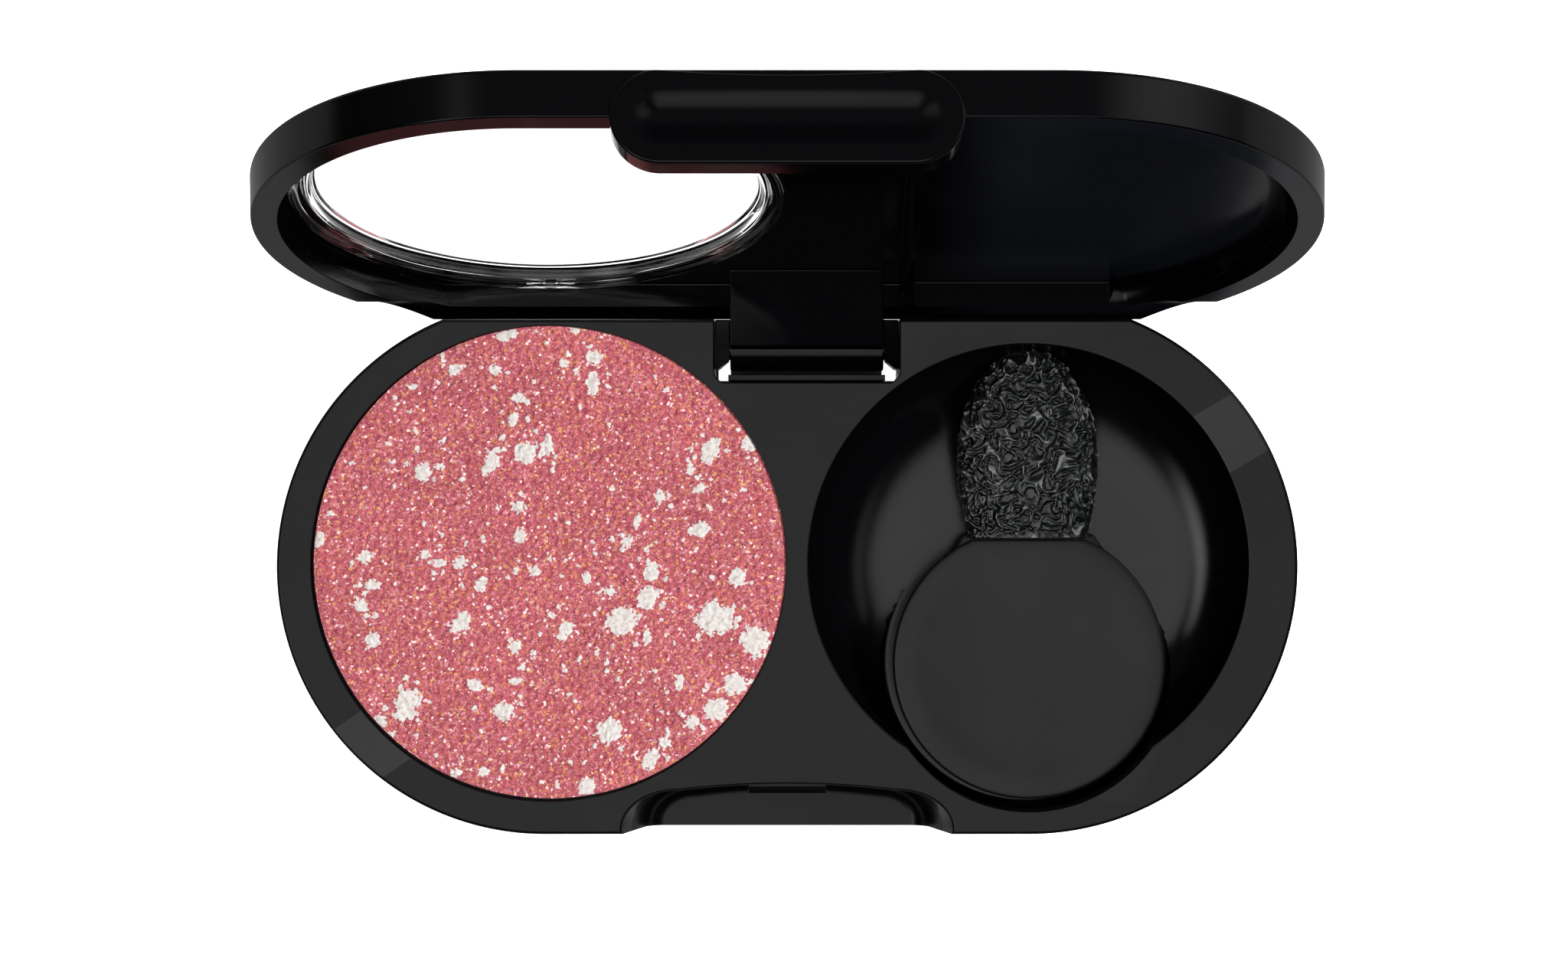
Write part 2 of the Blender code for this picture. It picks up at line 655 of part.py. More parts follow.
def build_handle():
    profile = [(r, GRIP_T - depth) for r, depth in HANDLE_FACE] + HANDLE_FACE[::-1]
    handle = on_grip(turned("applicator_handle", profile, mat=grip_black))
    cut(handle, on_grip(block("handle_flat", (-10, HANDLE_FLAT_Y, -2), (10, 12, 8))))
    back_y, front_y = HANDLE_FLAT_Y + 0.3, HANDLE_FLAT_Y - 2.0
    shoulder = [(-5.6, front_y), (5.6, front_y), (3.8, back_y), (-3.8, back_y)]
    join(handle,
         on_grip(slab("handle_shoulder", shoulder, 1.0, GRIP_T - 1.1)),
         on_grip(block("handle_stem",
                       (-STEM_HALF_W, HANDLE_FLAT_Y - 1.0, SPONGE_MID - STEM_HALF_T),
                       (STEM_HALF_W, HANDLE_FLAT_Y + STEM_REACH, SPONGE_MID + STEM_HALF_T))))


def sponge_half_width(t):
    """Half width along the sponge, from its neck (t=0) to its rounded tip (t=1)."""
    neck, widest, widest_t = 3.45, SPONGE_W / 2 + SPONGE_EXTRA, 0.45
    if t < widest_t:
        return neck + (widest - neck) * math.sin(t / widest_t * math.pi / 2)
    s = (t - widest_t) / (1 - widest_t)
    return widest * math.sqrt(1 - s ** 2.6 * 0.80)


def build_sponge():
    length = SPONGE_Y1 - SPONGE_Y0
    half_t = SPONGE_T / 2 + SPONGE_EXTRA
    bm = bmesh.new()
    bmesh.ops.create_cube(bm, size=2.0)
    bmesh.ops.subdivide_edges(bm, edges=bm.edges, cuts=3, use_grid_fill=True)
    for vert in bm.verts:
        x, y, z = vert.co
        t = (y + 1) / 2
        # thinner over the last part towards the tip, and towards the sides
        tip = 1 - 0.45 * max(0.0, t - 0.6) / 0.4
        side = 1 - 0.25 * x * x
        vert.co = Vector((x * sponge_half_width(t), t * length * 0.97 - 0.3,
                          z * half_t * tip * side)) * MM
    sponge = on_grip(add_bmesh("applicator_sponge", bm, foam))
    sponge.location = (0, (HANDLE_FLAT_Y + 0.4) * MM, SPONGE_MID * MM)
    soft = sponge.modifiers.new("soft", 'SUBSURF')
    soft.levels = 1
    soft.render_levels = 1
    slot_half_w, slot_half_t = STEM_HALF_W + FIT, STEM_HALF_T + FIT
    cut(sponge,
        on_grip(block("sponge_neck_trim", (-10, HANDLE_FLAT_Y - 3, -2),
                      (10, HANDLE_FLAT_Y + 0.3 + FIT, 8))),
        on_grip(block("stem_slot",
                      (-slot_half_w, HANDLE_FLAT_Y - 2.0, SPONGE_MID - slot_half_t),
                      (slot_half_w, HANDLE_FLAT_Y + STEM_REACH + 0.1,
                       SPONGE_MID + slot_half_t))))


# ------------------------------------------------------------------ assembly
notch_cut = hinge_notch()
recess_cut = clasp_recess()
build_base_shell(notch_cut, recess_cut)
build_base_tray(notch_cut, recess_cut)
build_adhesive()
build_pan()
build_cake()
build_label()
build_hinge_pin()
build_lid_shell()
build_lid_window()
build_handle()
build_sponge()

for part in parts.objects:
    if part.type == 'MESH':
        smooth(part)
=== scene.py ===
"""Looks for an eyeshadow compact: a black case with a powder pan, an applicator in a dished well
and a lid with a round clear window, drawn closed and then swung open.

The base lies flat on z = 0, long along x.  The hinge runs along x at the back (+y), the clasp
is at the front (-y), and the well is on the right (+x).  Working unit: mm.
"""
import json
import math
import random

import bmesh
import bpy
import numpy as np
from mathutils import Matrix, Vector, noise


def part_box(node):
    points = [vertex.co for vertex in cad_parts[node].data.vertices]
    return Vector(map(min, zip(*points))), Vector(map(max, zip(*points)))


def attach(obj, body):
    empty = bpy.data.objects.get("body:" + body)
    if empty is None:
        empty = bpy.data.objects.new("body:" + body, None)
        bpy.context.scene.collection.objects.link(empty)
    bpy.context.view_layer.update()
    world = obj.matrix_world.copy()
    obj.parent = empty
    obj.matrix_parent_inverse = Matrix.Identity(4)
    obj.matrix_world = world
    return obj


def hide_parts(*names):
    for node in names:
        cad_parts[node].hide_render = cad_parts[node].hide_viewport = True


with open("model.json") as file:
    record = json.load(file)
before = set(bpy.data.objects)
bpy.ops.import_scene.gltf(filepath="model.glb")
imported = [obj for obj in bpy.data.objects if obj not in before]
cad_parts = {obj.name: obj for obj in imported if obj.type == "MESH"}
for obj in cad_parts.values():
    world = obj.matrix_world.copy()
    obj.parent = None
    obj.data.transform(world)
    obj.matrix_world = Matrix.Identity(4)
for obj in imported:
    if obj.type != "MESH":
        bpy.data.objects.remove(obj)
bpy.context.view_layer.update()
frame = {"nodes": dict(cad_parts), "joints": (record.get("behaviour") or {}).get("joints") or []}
MM = 0.001


def box_mm(node):
    """Low and high corner of a frame piece."""
    return [(np.array(corner) * 1000).tolist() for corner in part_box(node)]


# ------------------------------------------------------------------ driving sizes, from the frame
TRAY_LO, TRAY_HI = box_mm("base_tray")
SEAM = box_mm("base_shell")[1][2]                    # top of the shell
CAKE_LO, CAKE_HI = box_mm("powder_cake")
PAN_LO, PAN_HI = box_mm("powder_pan")
GRIP_LO, GRIP_HI = box_mm("applicator_handle")
FOAM_LO, FOAM_HI = box_mm("applicator_sponge")
PIN_LO, PIN_HI = box_mm("hinge_pin")
HINGE = next(j for j in frame["joints"] if j["name"] == "lid_hinge")
OPEN = -HINGE["range_deg"][0]                        # degrees from closed to rest
HINGE_Y, HINGE_Z = HINGE["pos_m"][1] * 1000, HINGE["pos_m"][2] * 1000

TOP = TRAY_HI[2]                                     # face of the tray
BACK = TRAY_HI[1]
END_R = -TRAY_LO[1]                                  # round ends of the case
HALF = TRAY_HI[0] - END_R                            # x of the end centres
PAN_X = (PAN_LO[0] + PAN_HI[0]) / 2
PAN_Y = (PAN_LO[1] + PAN_HI[1]) / 2
PAN_OPEN_R = (PAN_HI[0] - PAN_LO[0]) / 2 + 0.2
CAKE_R = (CAKE_HI[0] - CAKE_LO[0]) / 2 + 0.15
CAKE_TOP = CAKE_HI[2]
GRIP_R = 8.0
GRIP_X, GRIP_Y = (GRIP_LO[0] + GRIP_HI[0]) / 2, GRIP_LO[1] + GRIP_R
GRIP_Z0, GRIP_Z1 = GRIP_LO[2], GRIP_HI[2]
GRIP_FLAT_Y = 1.62                                   # flat on the back of the handle disc
GRIP_WELL_R = 8.69
FOAM_MID = (FOAM_LO[2] + FOAM_HI[2]) / 2
FOAM_Y0, FOAM_Y1 = 1.66, 12.80
WELL_X, WELL_Y, WELL_R = 14.15, 0.17, 12.9
WELL_FLOOR = GRIP_Z0 - 0.05
BORE_R = (PIN_HI[2] - PIN_LO[2]) / 2 + 0.05          # pin radius and its clearance

HINGE_X, LUG_WIDTH, NOTCH_WIDTH = 1.16, 9.05, 10.9
LUG_X0, LUG_X1 = HINGE_X - LUG_WIDTH / 2, HINGE_X + LUG_WIDTH / 2
NOTCH_X0, NOTCH_X1 = HINGE_X - NOTCH_WIDTH / 2, HINGE_X + NOTCH_WIDTH / 2
NOTCH_Y, NOTCH_FLOOR = 10.82, 1.1
RECESS_HALF, RECESS_BACK, RECESS_FLOOR = 9.72, -12.71, 2.6
SHELL_WALL = 0.8

LID_R, LID_WALL = 16.0, 1.65
LID_TOP = TOP + 2.80
LID_CEILING = LID_TOP - 0.84                         # underside of the closed lid's plate
WINDOW_X, WINDOW_Y, WINDOW_R, FLANGE_R = -14.12, -0.95, 13.05, 13.95

FACE_OVERLAP = 0.004                                 # cutters end their lip this far above a face


# ------------------------------------------------------------------ outlines, counter-clockwise
def angles(steps, sweep=90):
    return [math.radians(sweep * i / steps) for i in range(steps + 1)]


def stadium(radius, back, steps=110):
    """Long outline with round ends, cut straight at y = back."""
    top = math.asin(back / radius)
    sweep = top + math.pi / 2
    points = []
    for centre, start in ((HALF, -math.pi / 2), (-HALF, math.pi - top)):
        for i in range(steps + 1):
            a = start + sweep * i / steps
            points.append((centre + radius * math.cos(a), radius * math.sin(a)))
    return points


def circle(x, y, radius, steps=220):
    return [(x + radius * math.cos(2 * math.pi * i / steps),
             y + radius * math.sin(2 * math.pi * i / steps)) for i in range(steps)]


def rectangle(x0, y0, x1, y1):
    return [(x0, y0), (x1, y0), (x1, y1), (x0, y1)]


def round_corners(points, radii, steps=10):
    """Polygon with each corner replaced by an arc; radii is one radius or one per corner."""
    rounded = []
    count = len(points)
    for i in range(count):
        corner = Vector(points[i])
        before = (Vector(points[i - 1]) - corner).normalized()
        after = (Vector(points[(i + 1) % count]) - corner).normalized()
        radius = radii[i] if isinstance(radii, list) else radii
        half = before.angle(after) / 2
        if radius <= 0 or half < 0.01 or half > math.pi / 2 - 0.01:
            rounded.append(tuple(corner))
            continue
        reach = radius / math.tan(half)
        centre = corner + (before + after).normalized() * (radius / math.sin(half))
        start, end = corner + before * reach - centre, corner + after * reach - centre
        a0, a1 = math.atan2(start.y, start.x), math.atan2(end.y, end.x)
        turn = (a1 - a0 + math.pi) % (2 * math.pi) - math.pi
        for k in range(steps + 1):
            a = a0 + turn * k / steps
            rounded.append((centre.x + radius * math.cos(a), centre.y + radius * math.sin(a)))
    return rounded


def offset(points, distance):
    """Moves a closed outline outwards along its vertex normals."""
    if abs(distance) < 1e-9:
        return [tuple(p) for p in points]
    corners = np.array(points, float)
    edges = np.roll(corners, -1, 0) - corners
    lengths = np.hypot(edges[:, 0], edges[:, 1])
    lengths[lengths < 1e-9] = 1e-9
    normals = np.c_[edges[:, 1], -edges[:, 0]] / lengths[:, None]
    mitre = normals + np.roll(normals, 1, 0)
    size = np.hypot(mitre[:, 0], mitre[:, 1])
    size[size < 1e-6] = 1e-6
    mitre /= size[:, None]
    stretch = np.clip((mitre * normals).sum(1), 0.5, 1)
    return [tuple(q) for q in corners + mitre * (distance / stretch)[:, None]]


def notch_outline(grow=0.0):
    """Hinge notch in the back edge, rounded at its two front corners."""
    radius = 0.7 + grow
    box = rectangle(NOTCH_X0 - grow, NOTCH_Y - grow, NOTCH_X1 + grow, 18)
    return round_corners(box, [radius, radius, 0, 0], 12)


def recess_outline():
    """Clasp recess in the front edge: a bowed back with elliptical ends."""
    straight = 6.4
    rx, ry = RECESS_HALF - straight, 2.3

    def bow(x):
        return RECESS_BACK - 0.04 - 0.0090 * x * x

    yc = bow(straight) - ry
    quarter = angles(20)
    points = [(-RECESS_HALF, -18.0)]
    points += [(-straight - rx * math.cos(a), yc + ry * math.sin(a)) for a in quarter[:-1]]
    for i in range(61):
        x = -straight + 2 * straight * i / 60
        points.append((x, bow(x)))
    points += [(straight + rx * math.sin(a), yc + ry * math.cos(a)) for a in quarter[1:]]
    points.append((RECESS_HALF, -18.0))
    return points[::-1]


# ------------------------------------------------------------------ profiles: (outward offset, z)
def straight(z0, z1):
    return [(0, z0), (0, z1)]


def round_foot(radius, z, steps, inset=0.0):
    return [(-inset - radius + radius * math.sin(a), z + radius - radius * math.cos(a))
            for a in angles(steps)]


def round_head(radius, z, steps):
    return [(-radius + radius * math.cos(a), z - radius + radius * math.sin(a))
            for a in angles(steps)]


def slab_profile(z0, z1, foot, head, steps):
    return round_foot(foot, z0, steps) + round_head(head, z1, steps)


def cut_profile(floor_z, face_z, flare, cove=0.0):
    """Cutter that leaves a rounded lip of radius flare at the face and a cove at the floor."""
    profile = round_foot(cove, floor_z, 10) if cove else [(0, floor_z)]
    top = face_z + FACE_OVERLAP
    profile += [(flare - flare * math.cos(a), top - flare + flare * math.sin(a))
                for a in angles(6, 88)]
    profile.append((flare + 0.02, face_z + 4.0))
    return profile


# ------------------------------------------------------------------ solids
def new_object(name, points, faces, weld=True, point_values=None):
    """Mesh object from mm points; point_values is (attribute name, one number per point)."""
    mesh = bpy.data.meshes.new(name)
    mesh.from_pydata([tuple(c * MM for c in p) for p in points], [], faces)
    mesh.update()
    if point_values:
        attribute = mesh.attributes.new(point_values[0], 'FLOAT', 'POINT')
        attribute.data.foreach_set("value", point_values[1])
    bm = bmesh.new()
    bm.from_mesh(mesh)
    if weld:
        bmesh.ops.remove_doubles(bm, verts=bm.verts, dist=1e-8)
    bmesh.ops.recalc_face_normals(bm, faces=bm.faces)
    bm.to_mesh(mesh)
    bm.free()
    ob = bpy.data.objects.new(name, mesh)
    bpy.context.scene.collection.objects.link(ob)
    return ob


def ring_quads(rings, size):
    """Faces between neighbouring rings of the same number of points."""
    faces = []
    for k in range(rings - 1):
        a, b = k * size, (k + 1) * size
        for i in range(size):
            j = (i + 1) % size
            faces.append((a + i, a + j, b + j, b + i))
    return faces


def loft(name, rings):
    size = len(rings[0])
    faces = ring_quads(len(rings), size)
    faces.append(tuple(range(size))[::-1])
    faces.append(tuple(range((len(rings) - 1) * size, len(rings) * size)))
    return new_object(name, [p for ring in rings for p in ring], faces)


def prism(name, outline, profile):
    """Outline in (x, y), run along z."""
    return loft(name, [[(x, y, z) for x, y in offset(outline, d)] for d, z in profile])


def prism_x(name, outline, profile):
    """Outline in (y, z), run along x: profile is a list of (outward offset, x)."""
    return loft(name, [[(x, y, z) for y, z in offset(outline, d)] for d, x in profile])


def turned(name, x, y, profile):
    """Round solid on an upright axis: profile is a list of (radius, z)."""
    return loft(name, [[(cx, cy, z) for cx, cy in circle(x, y, radius, 120)]
                       for radius, z in profile])


def block(name, low, high):
    return prism(name, rectangle(*low[:2], *high[:2]), straight(low[2], high[2]))


def boolean(body, tool, operation):
    """Applied at once; the tool is removed."""
    modifier = body.modifiers.new("b", 'BOOLEAN')
    modifier.operation = operation
    modifier.solver = 'EXACT'
    modifier.object = tool
    graph = bpy.context.evaluated_depsgraph_get()
    mesh = bpy.data.meshes.new_from_object(body.evaluated_get(graph))
    body.modifiers.clear()
    if not len(mesh.polygons):
        raise RuntimeError("boolean emptied " + body.name + " with " + tool.name)
    old = body.data
    body.data = mesh
    bpy.data.meshes.remove(old)
    bpy.data.objects.remove(tool, do_unlink=True)


def cut(body, tool):
    boolean(body, tool, 'DIFFERENCE')


def fuse(body, tool):
    boolean(body, tool, 'UNION')


def keep_common(body, tool):
    boolean(body, tool, 'INTERSECT')


def clean(ob):
    bm = bmesh.new()
    bm.from_mesh(ob.data)
    bmesh.ops.remove_doubles(bm, verts=bm.verts, dist=2e-7)
    bmesh.ops.dissolve_degenerate(bm, dist=1e-7, edges=bm.edges)
    bm.to_mesh(ob.data)
    bm.free()


def finish_surface(ob, material, angle=28):
    """Smooth shading with sharp edges above the angle, and weighted normals."""
    ob.data.materials.clear()
    ob.data.materials.append(material)
    ob.data.shade_smooth()
    ob.data.set_sharp_from_angle(angle=math.radians(angle))
    modifier = ob.modifiers.new("weighted_normals", 'WEIGHTED_NORMAL')
    modifier.keep_sharp = True
    modifier.weight = 100


def swing(ob):
    """From closed to the rest pose."""
    axis = Vector((0, HINGE_Y * MM, HINGE_Z * MM))
    turn = Matrix.Rotation(math.radians(-OPEN), 4, 'X')
    ob.data.transform(Matrix.Translation(axis) @ turn @ Matrix.Translation(-axis))


# ------------------------------------------------------------------ shading helpers
class Shading:
    """A node tree with short calls that add nodes; a value may be a number or a socket."""

    def __init__(self, tree):
        self.tree = tree

    def feed(self, socket, value):
        if isinstance(value, bpy.types.NodeSocket):
            self.tree.links.new(value, socket)
        else:
            socket.default_value = value

    def set(self, node, values):
        for name, value in values.items():
            self.feed(node.inputs[name], value)

    def add(self, kind, **values):
        """Keywords that name an input feed it; the others are node settings."""
        node = self.tree.nodes.new("ShaderNode" + kind)
        for key, value in values.items():
            if key in node.inputs:
                self.feed(node.inputs[key], value)
            else:
                setattr(node, key, value)
        return node

    def math(self, operation, *terms):
        node = self.add("Math", operation=operation)
        for socket, term in zip(node.inputs, terms):
            self.feed(socket, term)
        return node.outputs[0]

    def noise(self, vector, scale, detail):
        node = self.add("TexNoise", Vector=vector, Scale=scale, Detail=detail)
        return node.outputs["Fac"]

    def xyz(self, vector):
        return self.add("SeparateXYZ", Vector=vector).outputs

    def cells(self, vector, scale, channel):
        """One random number per small cell."""
        color = self.add("TexVoronoi", Vector=vector, Scale=scale).outputs["Color"]
        node = self.add("SeparateColor")
        self.feed(node.inputs[0], color)
        return node.outputs[channel]

    def ramp(self, source, stops, interpolation='LINEAR'):
        """Stops are (position, grey or colour)."""
        node = self.add("ValToRGB")
        band = node.color_ramp
        band.interpolation = interpolation
        while len(band.elements) > 1:
            band.elements.remove(band.elements[-1])
        for i, (position, color) in enumerate(stops):
            element = band.elements.new(position) if i else band.elements[0]
            element.position = position
            element.color = (*color, 1) if isinstance(color, tuple) else (color,) * 3 + (1,)
        self.feed(node.inputs["Fac"], source)
        return node.outputs["Color"]

    def mix_colors(self, factor, first, second, **settings):
        node = self.add("Mix", data_type='RGBA', **settings)
        for index, value in ((0, factor), (6, first), (7, second)):
            self.feed(node.inputs[index], value)
        return node.outputs[2]

    def mix_shaders(self, factor, first, second):
        node = self.add("MixShader")
        for socket, value in zip(node.inputs, (factor, first, second)):
            self.feed(socket, value)
        return node.outputs[0]

    def bump(self, height, strength, distance):
        node = self.add("Bump", Height=height, Strength=strength, Distance=distance)
        return node.outputs["Normal"]


def open_material(material):
    tree = material.node_tree
    return Shading(tree), tree.nodes["Principled BSDF"]


def new_material(name):
    material = bpy.data.materials.new(name)
    material.use_nodes = True
    return (material, *open_material(material))


def source(socket):
    """What feeds the input now: a linked socket, or else its own value."""
    return socket.links[0].from_socket if socket.links else socket.default_value


# ------------------------------------------------------------------ black plastics
def black_plastic(name, color, roughness, spread, grain, specular=0.5):
    """Moulded black plastic: fine mould grain, uneven gloss, soft wear on edges."""
    material, net, shader = new_material(name)
    place = net.add("TexCoord").outputs["Object"]
    fine = net.noise(place, scale=9000.0, detail=2.0)
    broad = net.noise(place, scale=180.0, detail=3.0)
    tint = net.ramp(fine, [(0.25, tuple(c * 0.95 for c in color)),
                           (0.75, tuple(c * 1.05 for c in color))])
    pointiness = net.add("NewGeometry").outputs["Pointiness"]
    wear = net.math('MULTIPLY', net.ramp(pointiness, [(0.56, 0.0), (0.70, 1.0)]), 0.25)
    worn = (*(c * 3 + 0.003 for c in color), 1)
    net.set(shader, {
        "Roughness": net.ramp(broad, [(0.3, roughness - spread), (0.7, roughness + spread)]),
        "Base Color": net.mix_colors(wear, tint, worn),
        "Normal": net.bump(fine, strength=grain, distance=0.00002),
        "Specular IOR Level": specular,
        "IOR": 1.5,
    })
    return material


# painted reflections: two bands on the tray's face where the specular level is raised, standing in
# for reflected light panels
BAND_HALF, BAND_START = 1.97, 20.0       # half width, and where a band starts along its run
PAINTED_REFLECTION_BANDS = (  # a point on the centre line (x, y), direction across it, direction along it
    ((-24.6, -10.56), (0.563, -0.826), (-0.826, -0.563)),
    ((26.1, 7.88), (0.51, -0.86), (0.86, 0.51)),
)


def painted_reflection_band_mask(net, x, y, point, across, along):
    length = math.hypot(*across)
    ax, ay = across[0] / length, across[1] / length
    shift = -(point[0] * ax + point[1] * ay) * MM
    distance = net.math('MULTIPLY_ADD', y, ay, net.math('MULTIPLY_ADD', x, ax, shift))
    inside = net.math('LESS_THAN', net.math('ABSOLUTE', distance), BAND_HALF * MM)
    run = net.math('MULTIPLY_ADD', y, along[1], net.math('MULTIPLY', x, along[0]))
    return net.math('MULTIPLY', inside, net.math('GREATER_THAN', run, BAND_START * MM))


def add_painted_reflection_bands(material):
    """Two slanting bands of painted reflection (raised specular) on the face, and glossier floors
    below it.
    """
    net, shader = open_material(material)
    specular, roughness = shader.inputs["Specular IOR Level"], shader.inputs["Roughness"]
    coordinates = net.tree.nodes["Texture Coordinate"]
    x, y, z = net.xyz(coordinates.outputs["Object"])
    in_painted_band = net.math('MAXIMUM', *[painted_reflection_band_mask(net, x, y, *band) for band in PAINTED_REFLECTION_BANDS])
    on_face = net.math('MULTIPLY', in_painted_band, net.math('GREATER_THAN', z, (TOP - 0.02) * MM))
    deep = net.math('LESS_THAN', z, (TOP - 0.5) * MM)
    level = net.ramp(net.xyz(coordinates.outputs["Normal"])[2], [(0.45, 0.0), (0.75, 1.0)])
    floors = net.math('MULTIPLY', deep, level)
    base = net.math('MULTIPLY_ADD', floors, 0.26, source(specular))
    # painted reflection: the specular level is raised inside the two bands on the face
    net.feed(specular, net.math('MULTIPLY_ADD', on_face, 0.40, base))
    net.feed(roughness, net.math('MULTIPLY_ADD', deep, -0.09, source(roughness)))


def dull_lid_inside(material):
    """Inner ceiling and rim faces of the lid: little gloss and a faint cool painted reflection in
    the base colour.
    """
    net, shader = open_material(material)
    dull_specular, full_specular = 0.07, 0.42
    coordinates = net.add("TexCoord")
    dot = net.add("VectorMath", operation='DOT_PRODUCT')
    net.feed(dot.inputs[0], coordinates.outputs["Normal"])
    tilt = math.radians(OPEN)
    net.feed(dot.inputs[1], (0.0, -abs(math.sin(tilt)), abs(math.cos(tilt))))
    outside = net.ramp(dot.outputs["Value"], [(0.90, 1.0), (0.985, 0.0)])
    x = net.xyz(coordinates.outputs["Object"])[0]
    # the two rounded ends of the rim are polished
    reach = 0.04
    ends = net.ramp(net.math('MULTIPLY', net.math('ABSOLUTE', x), 1 / reach),
                    [(0.0, 0.0), (0.0235 / reach, 0.0), (0.0275 / reach, 1.0), (1.0, 1.0)])
    polished = net.math('MAXIMUM', outside, ends)
    net.feed(shader.inputs["Specular IOR Level"],
             net.math('MULTIPLY_ADD', polished, full_specular - dull_specular, dull_specular))
    # a painted bluish reflection in the base colour, growing towards the right
    right = net.ramp(net.math('MULTIPLY', x, 1 / 0.020),
                     [(0.0, 0.0), (0.40, 0.0), (0.62, 1.0), (1.0, 1.0)])
    painted_sheen = net.math('MULTIPLY', net.math('SUBTRACT', 1.0, outside), right)
    color = shader.inputs["Base Color"]
    # painted reflection: the base colour is tinted bluish on the inner faces
    net.feed(color, net.mix_colors(painted_sheen, source(color), (0.0030, 0.0034, 0.0048, 1)))


def dull_recess_walls(material):
    """The steep walls of the clasp recess have a duller finish than the rest."""
    net, shader = open_material(material)
    specular = shader.inputs["Specular IOR Level"]
    coordinates = net.add("TexCoord")
    x, y, _ = net.xyz(coordinates.outputs["Object"])
    steep = net.ramp(net.xyz(coordinates.outputs["Normal"])[2], [(0.45, 1.0), (0.75, 0.0)])
    across = net.math('LESS_THAN', net.math('ABSOLUTE', x), (RECESS_HALF + 0.06) * MM)
    front = net.math('LESS_THAN', y, -12.4 * MM)
    walls = net.math('MULTIPLY', net.math('MULTIPLY', across, front), steep)
    factor = net.math('MULTIPLY_ADD', walls, -0.8, 1.0)
    net.feed(specular, net.math('MULTIPLY', factor, source(specular)))


CASE_LOOK = dict(color=(0.0006, 0.0006, 0.0008), roughness=0.27, spread=0.02, grain=0.12)
MAT_TRAY = black_plastic("tray_black", **CASE_LOOK)
MAT_SHELL = black_plastic("shell_black", **CASE_LOOK)
MAT_LID = black_plastic("lid_black", color=(0.0003, 0.0003, 0.0005), roughness=0.17,
                        spread=0.02, grain=0.05, specular=0.42)
MAT_GRIP = black_plastic("grip_black", color=(0.0022, 0.0022, 0.0023), roughness=0.36,
                         spread=0.03, grain=0.15, specular=0.62)
add_painted_reflection_bands(MAT_TRAY)
dull_lid_inside(MAT_LID)
dull_recess_walls(MAT_TRAY)
dull_recess_walls(MAT_SHELL)


# ------------------------------------------------------------------ other materials
def clear_plastic():
    """Clear plastic that lets light through instead of casting a shadow."""
    material, net, shader = new_material("window_clear")
    haze = net.noise(net.add("TexCoord").outputs["Object"], scale=260.0, detail=2.0)
    net.set(shader, {
        "Transmission Weight": 1.0,
        "IOR": 1.49,
        "Base Color": (0.985, 0.99, 0.99, 1),
        "Roughness": net.ramp(haze, [(0.35, 0.0), (0.8, 0.02)]),
    })
    shadow = net.add("LightPath").outputs["Is Shadow Ray"]
    through = net.add("BsdfTransparent", Color=(0.95, 0.95, 0.95, 1)).outputs[0]
    surface = net.mix_shaders(shadow, shader.outputs[0], through)
    net.feed(net.tree.nodes["Material Output"].inputs["Surface"], surface)
    return material


def powder_material():
    material, net, shader = new_material("pressed_shimmer_powder")
    place = net.add("TexCoord").outputs["Object"]
    # shimmer grains: each small cell takes its own tint; the palest cells are pale pearl grains and
    # also painted glints
    coarse = net.ramp(net.cells(place, scale=7600.0, channel=0), [
        (0.0, (0.118, 0.020, 0.030)), (0.16, (0.165, 0.031, 0.042)),
        (0.34, (0.205, 0.044, 0.056)), (0.55, (0.235, 0.055, 0.058)),
        (0.70, (0.27, 0.078, 0.098)), (0.80, (0.30, 0.105, 0.045)),
        (0.87, (0.36, 0.17, 0.20)), (0.93, (0.37, 0.22, 0.055)),
        # painted glints: the brightest stop lifts the palest cells well above the pearl grains' own
        # colour
        (0.97, (0.66, 0.52, 0.50))], 'CONSTANT')
    fine = net.ramp(net.cells(place, scale=14500.0, channel=1), [
        (0.0, (0.13, 0.022, 0.036)), (0.3, (0.20, 0.043, 0.052)),
        (0.62, (0.25, 0.060, 0.080)), (0.82, (0.29, 0.10, 0.06)),
        (0.93, (0.36, 0.19, 0.22))], 'CONSTANT')
    grains = net.mix_colors(0.5, coarse, fine)
    # slow tonal drift over the cake
    drift = net.ramp(net.noise(place, scale=260.0, detail=4.0), [(0.3, 0.90), (0.7, 1.07)])
    powder = net.mix_colors(1.0, grains, drift, blend_type='MULTIPLY')
    # white flecks from the mesh attribute, with edges broken up by fine noise
    fleck = net.add("Attribute", attribute_name="fleck").outputs["Fac"]
    ragged = net.noise(place, scale=5200.0, detail=3.0)
    broken = net.math('MULTIPLY_ADD', net.math('SUBTRACT', ragged, 0.5), 1.5, fleck)
    edge = net.ramp(broken, [(0.46, 0.0), (0.54, 1.0)])
    white = net.ramp(ragged, [(0.30, (0.235, 0.185, 0.175)), (0.45, (0.295, 0.272, 0.256)),
                              (0.7, (0.325, 0.315, 0.302))])
    grain = net.noise(place, scale=6500.0, detail=3.0)
    net.set(shader, {
        "Base Color": net.mix_colors(edge, powder, white),
        "Roughness": 0.55,
        "Specular IOR Level": 0.25,
        "Normal": net.bump(grain, strength=0.55, distance=0.00005),
    })
    return material


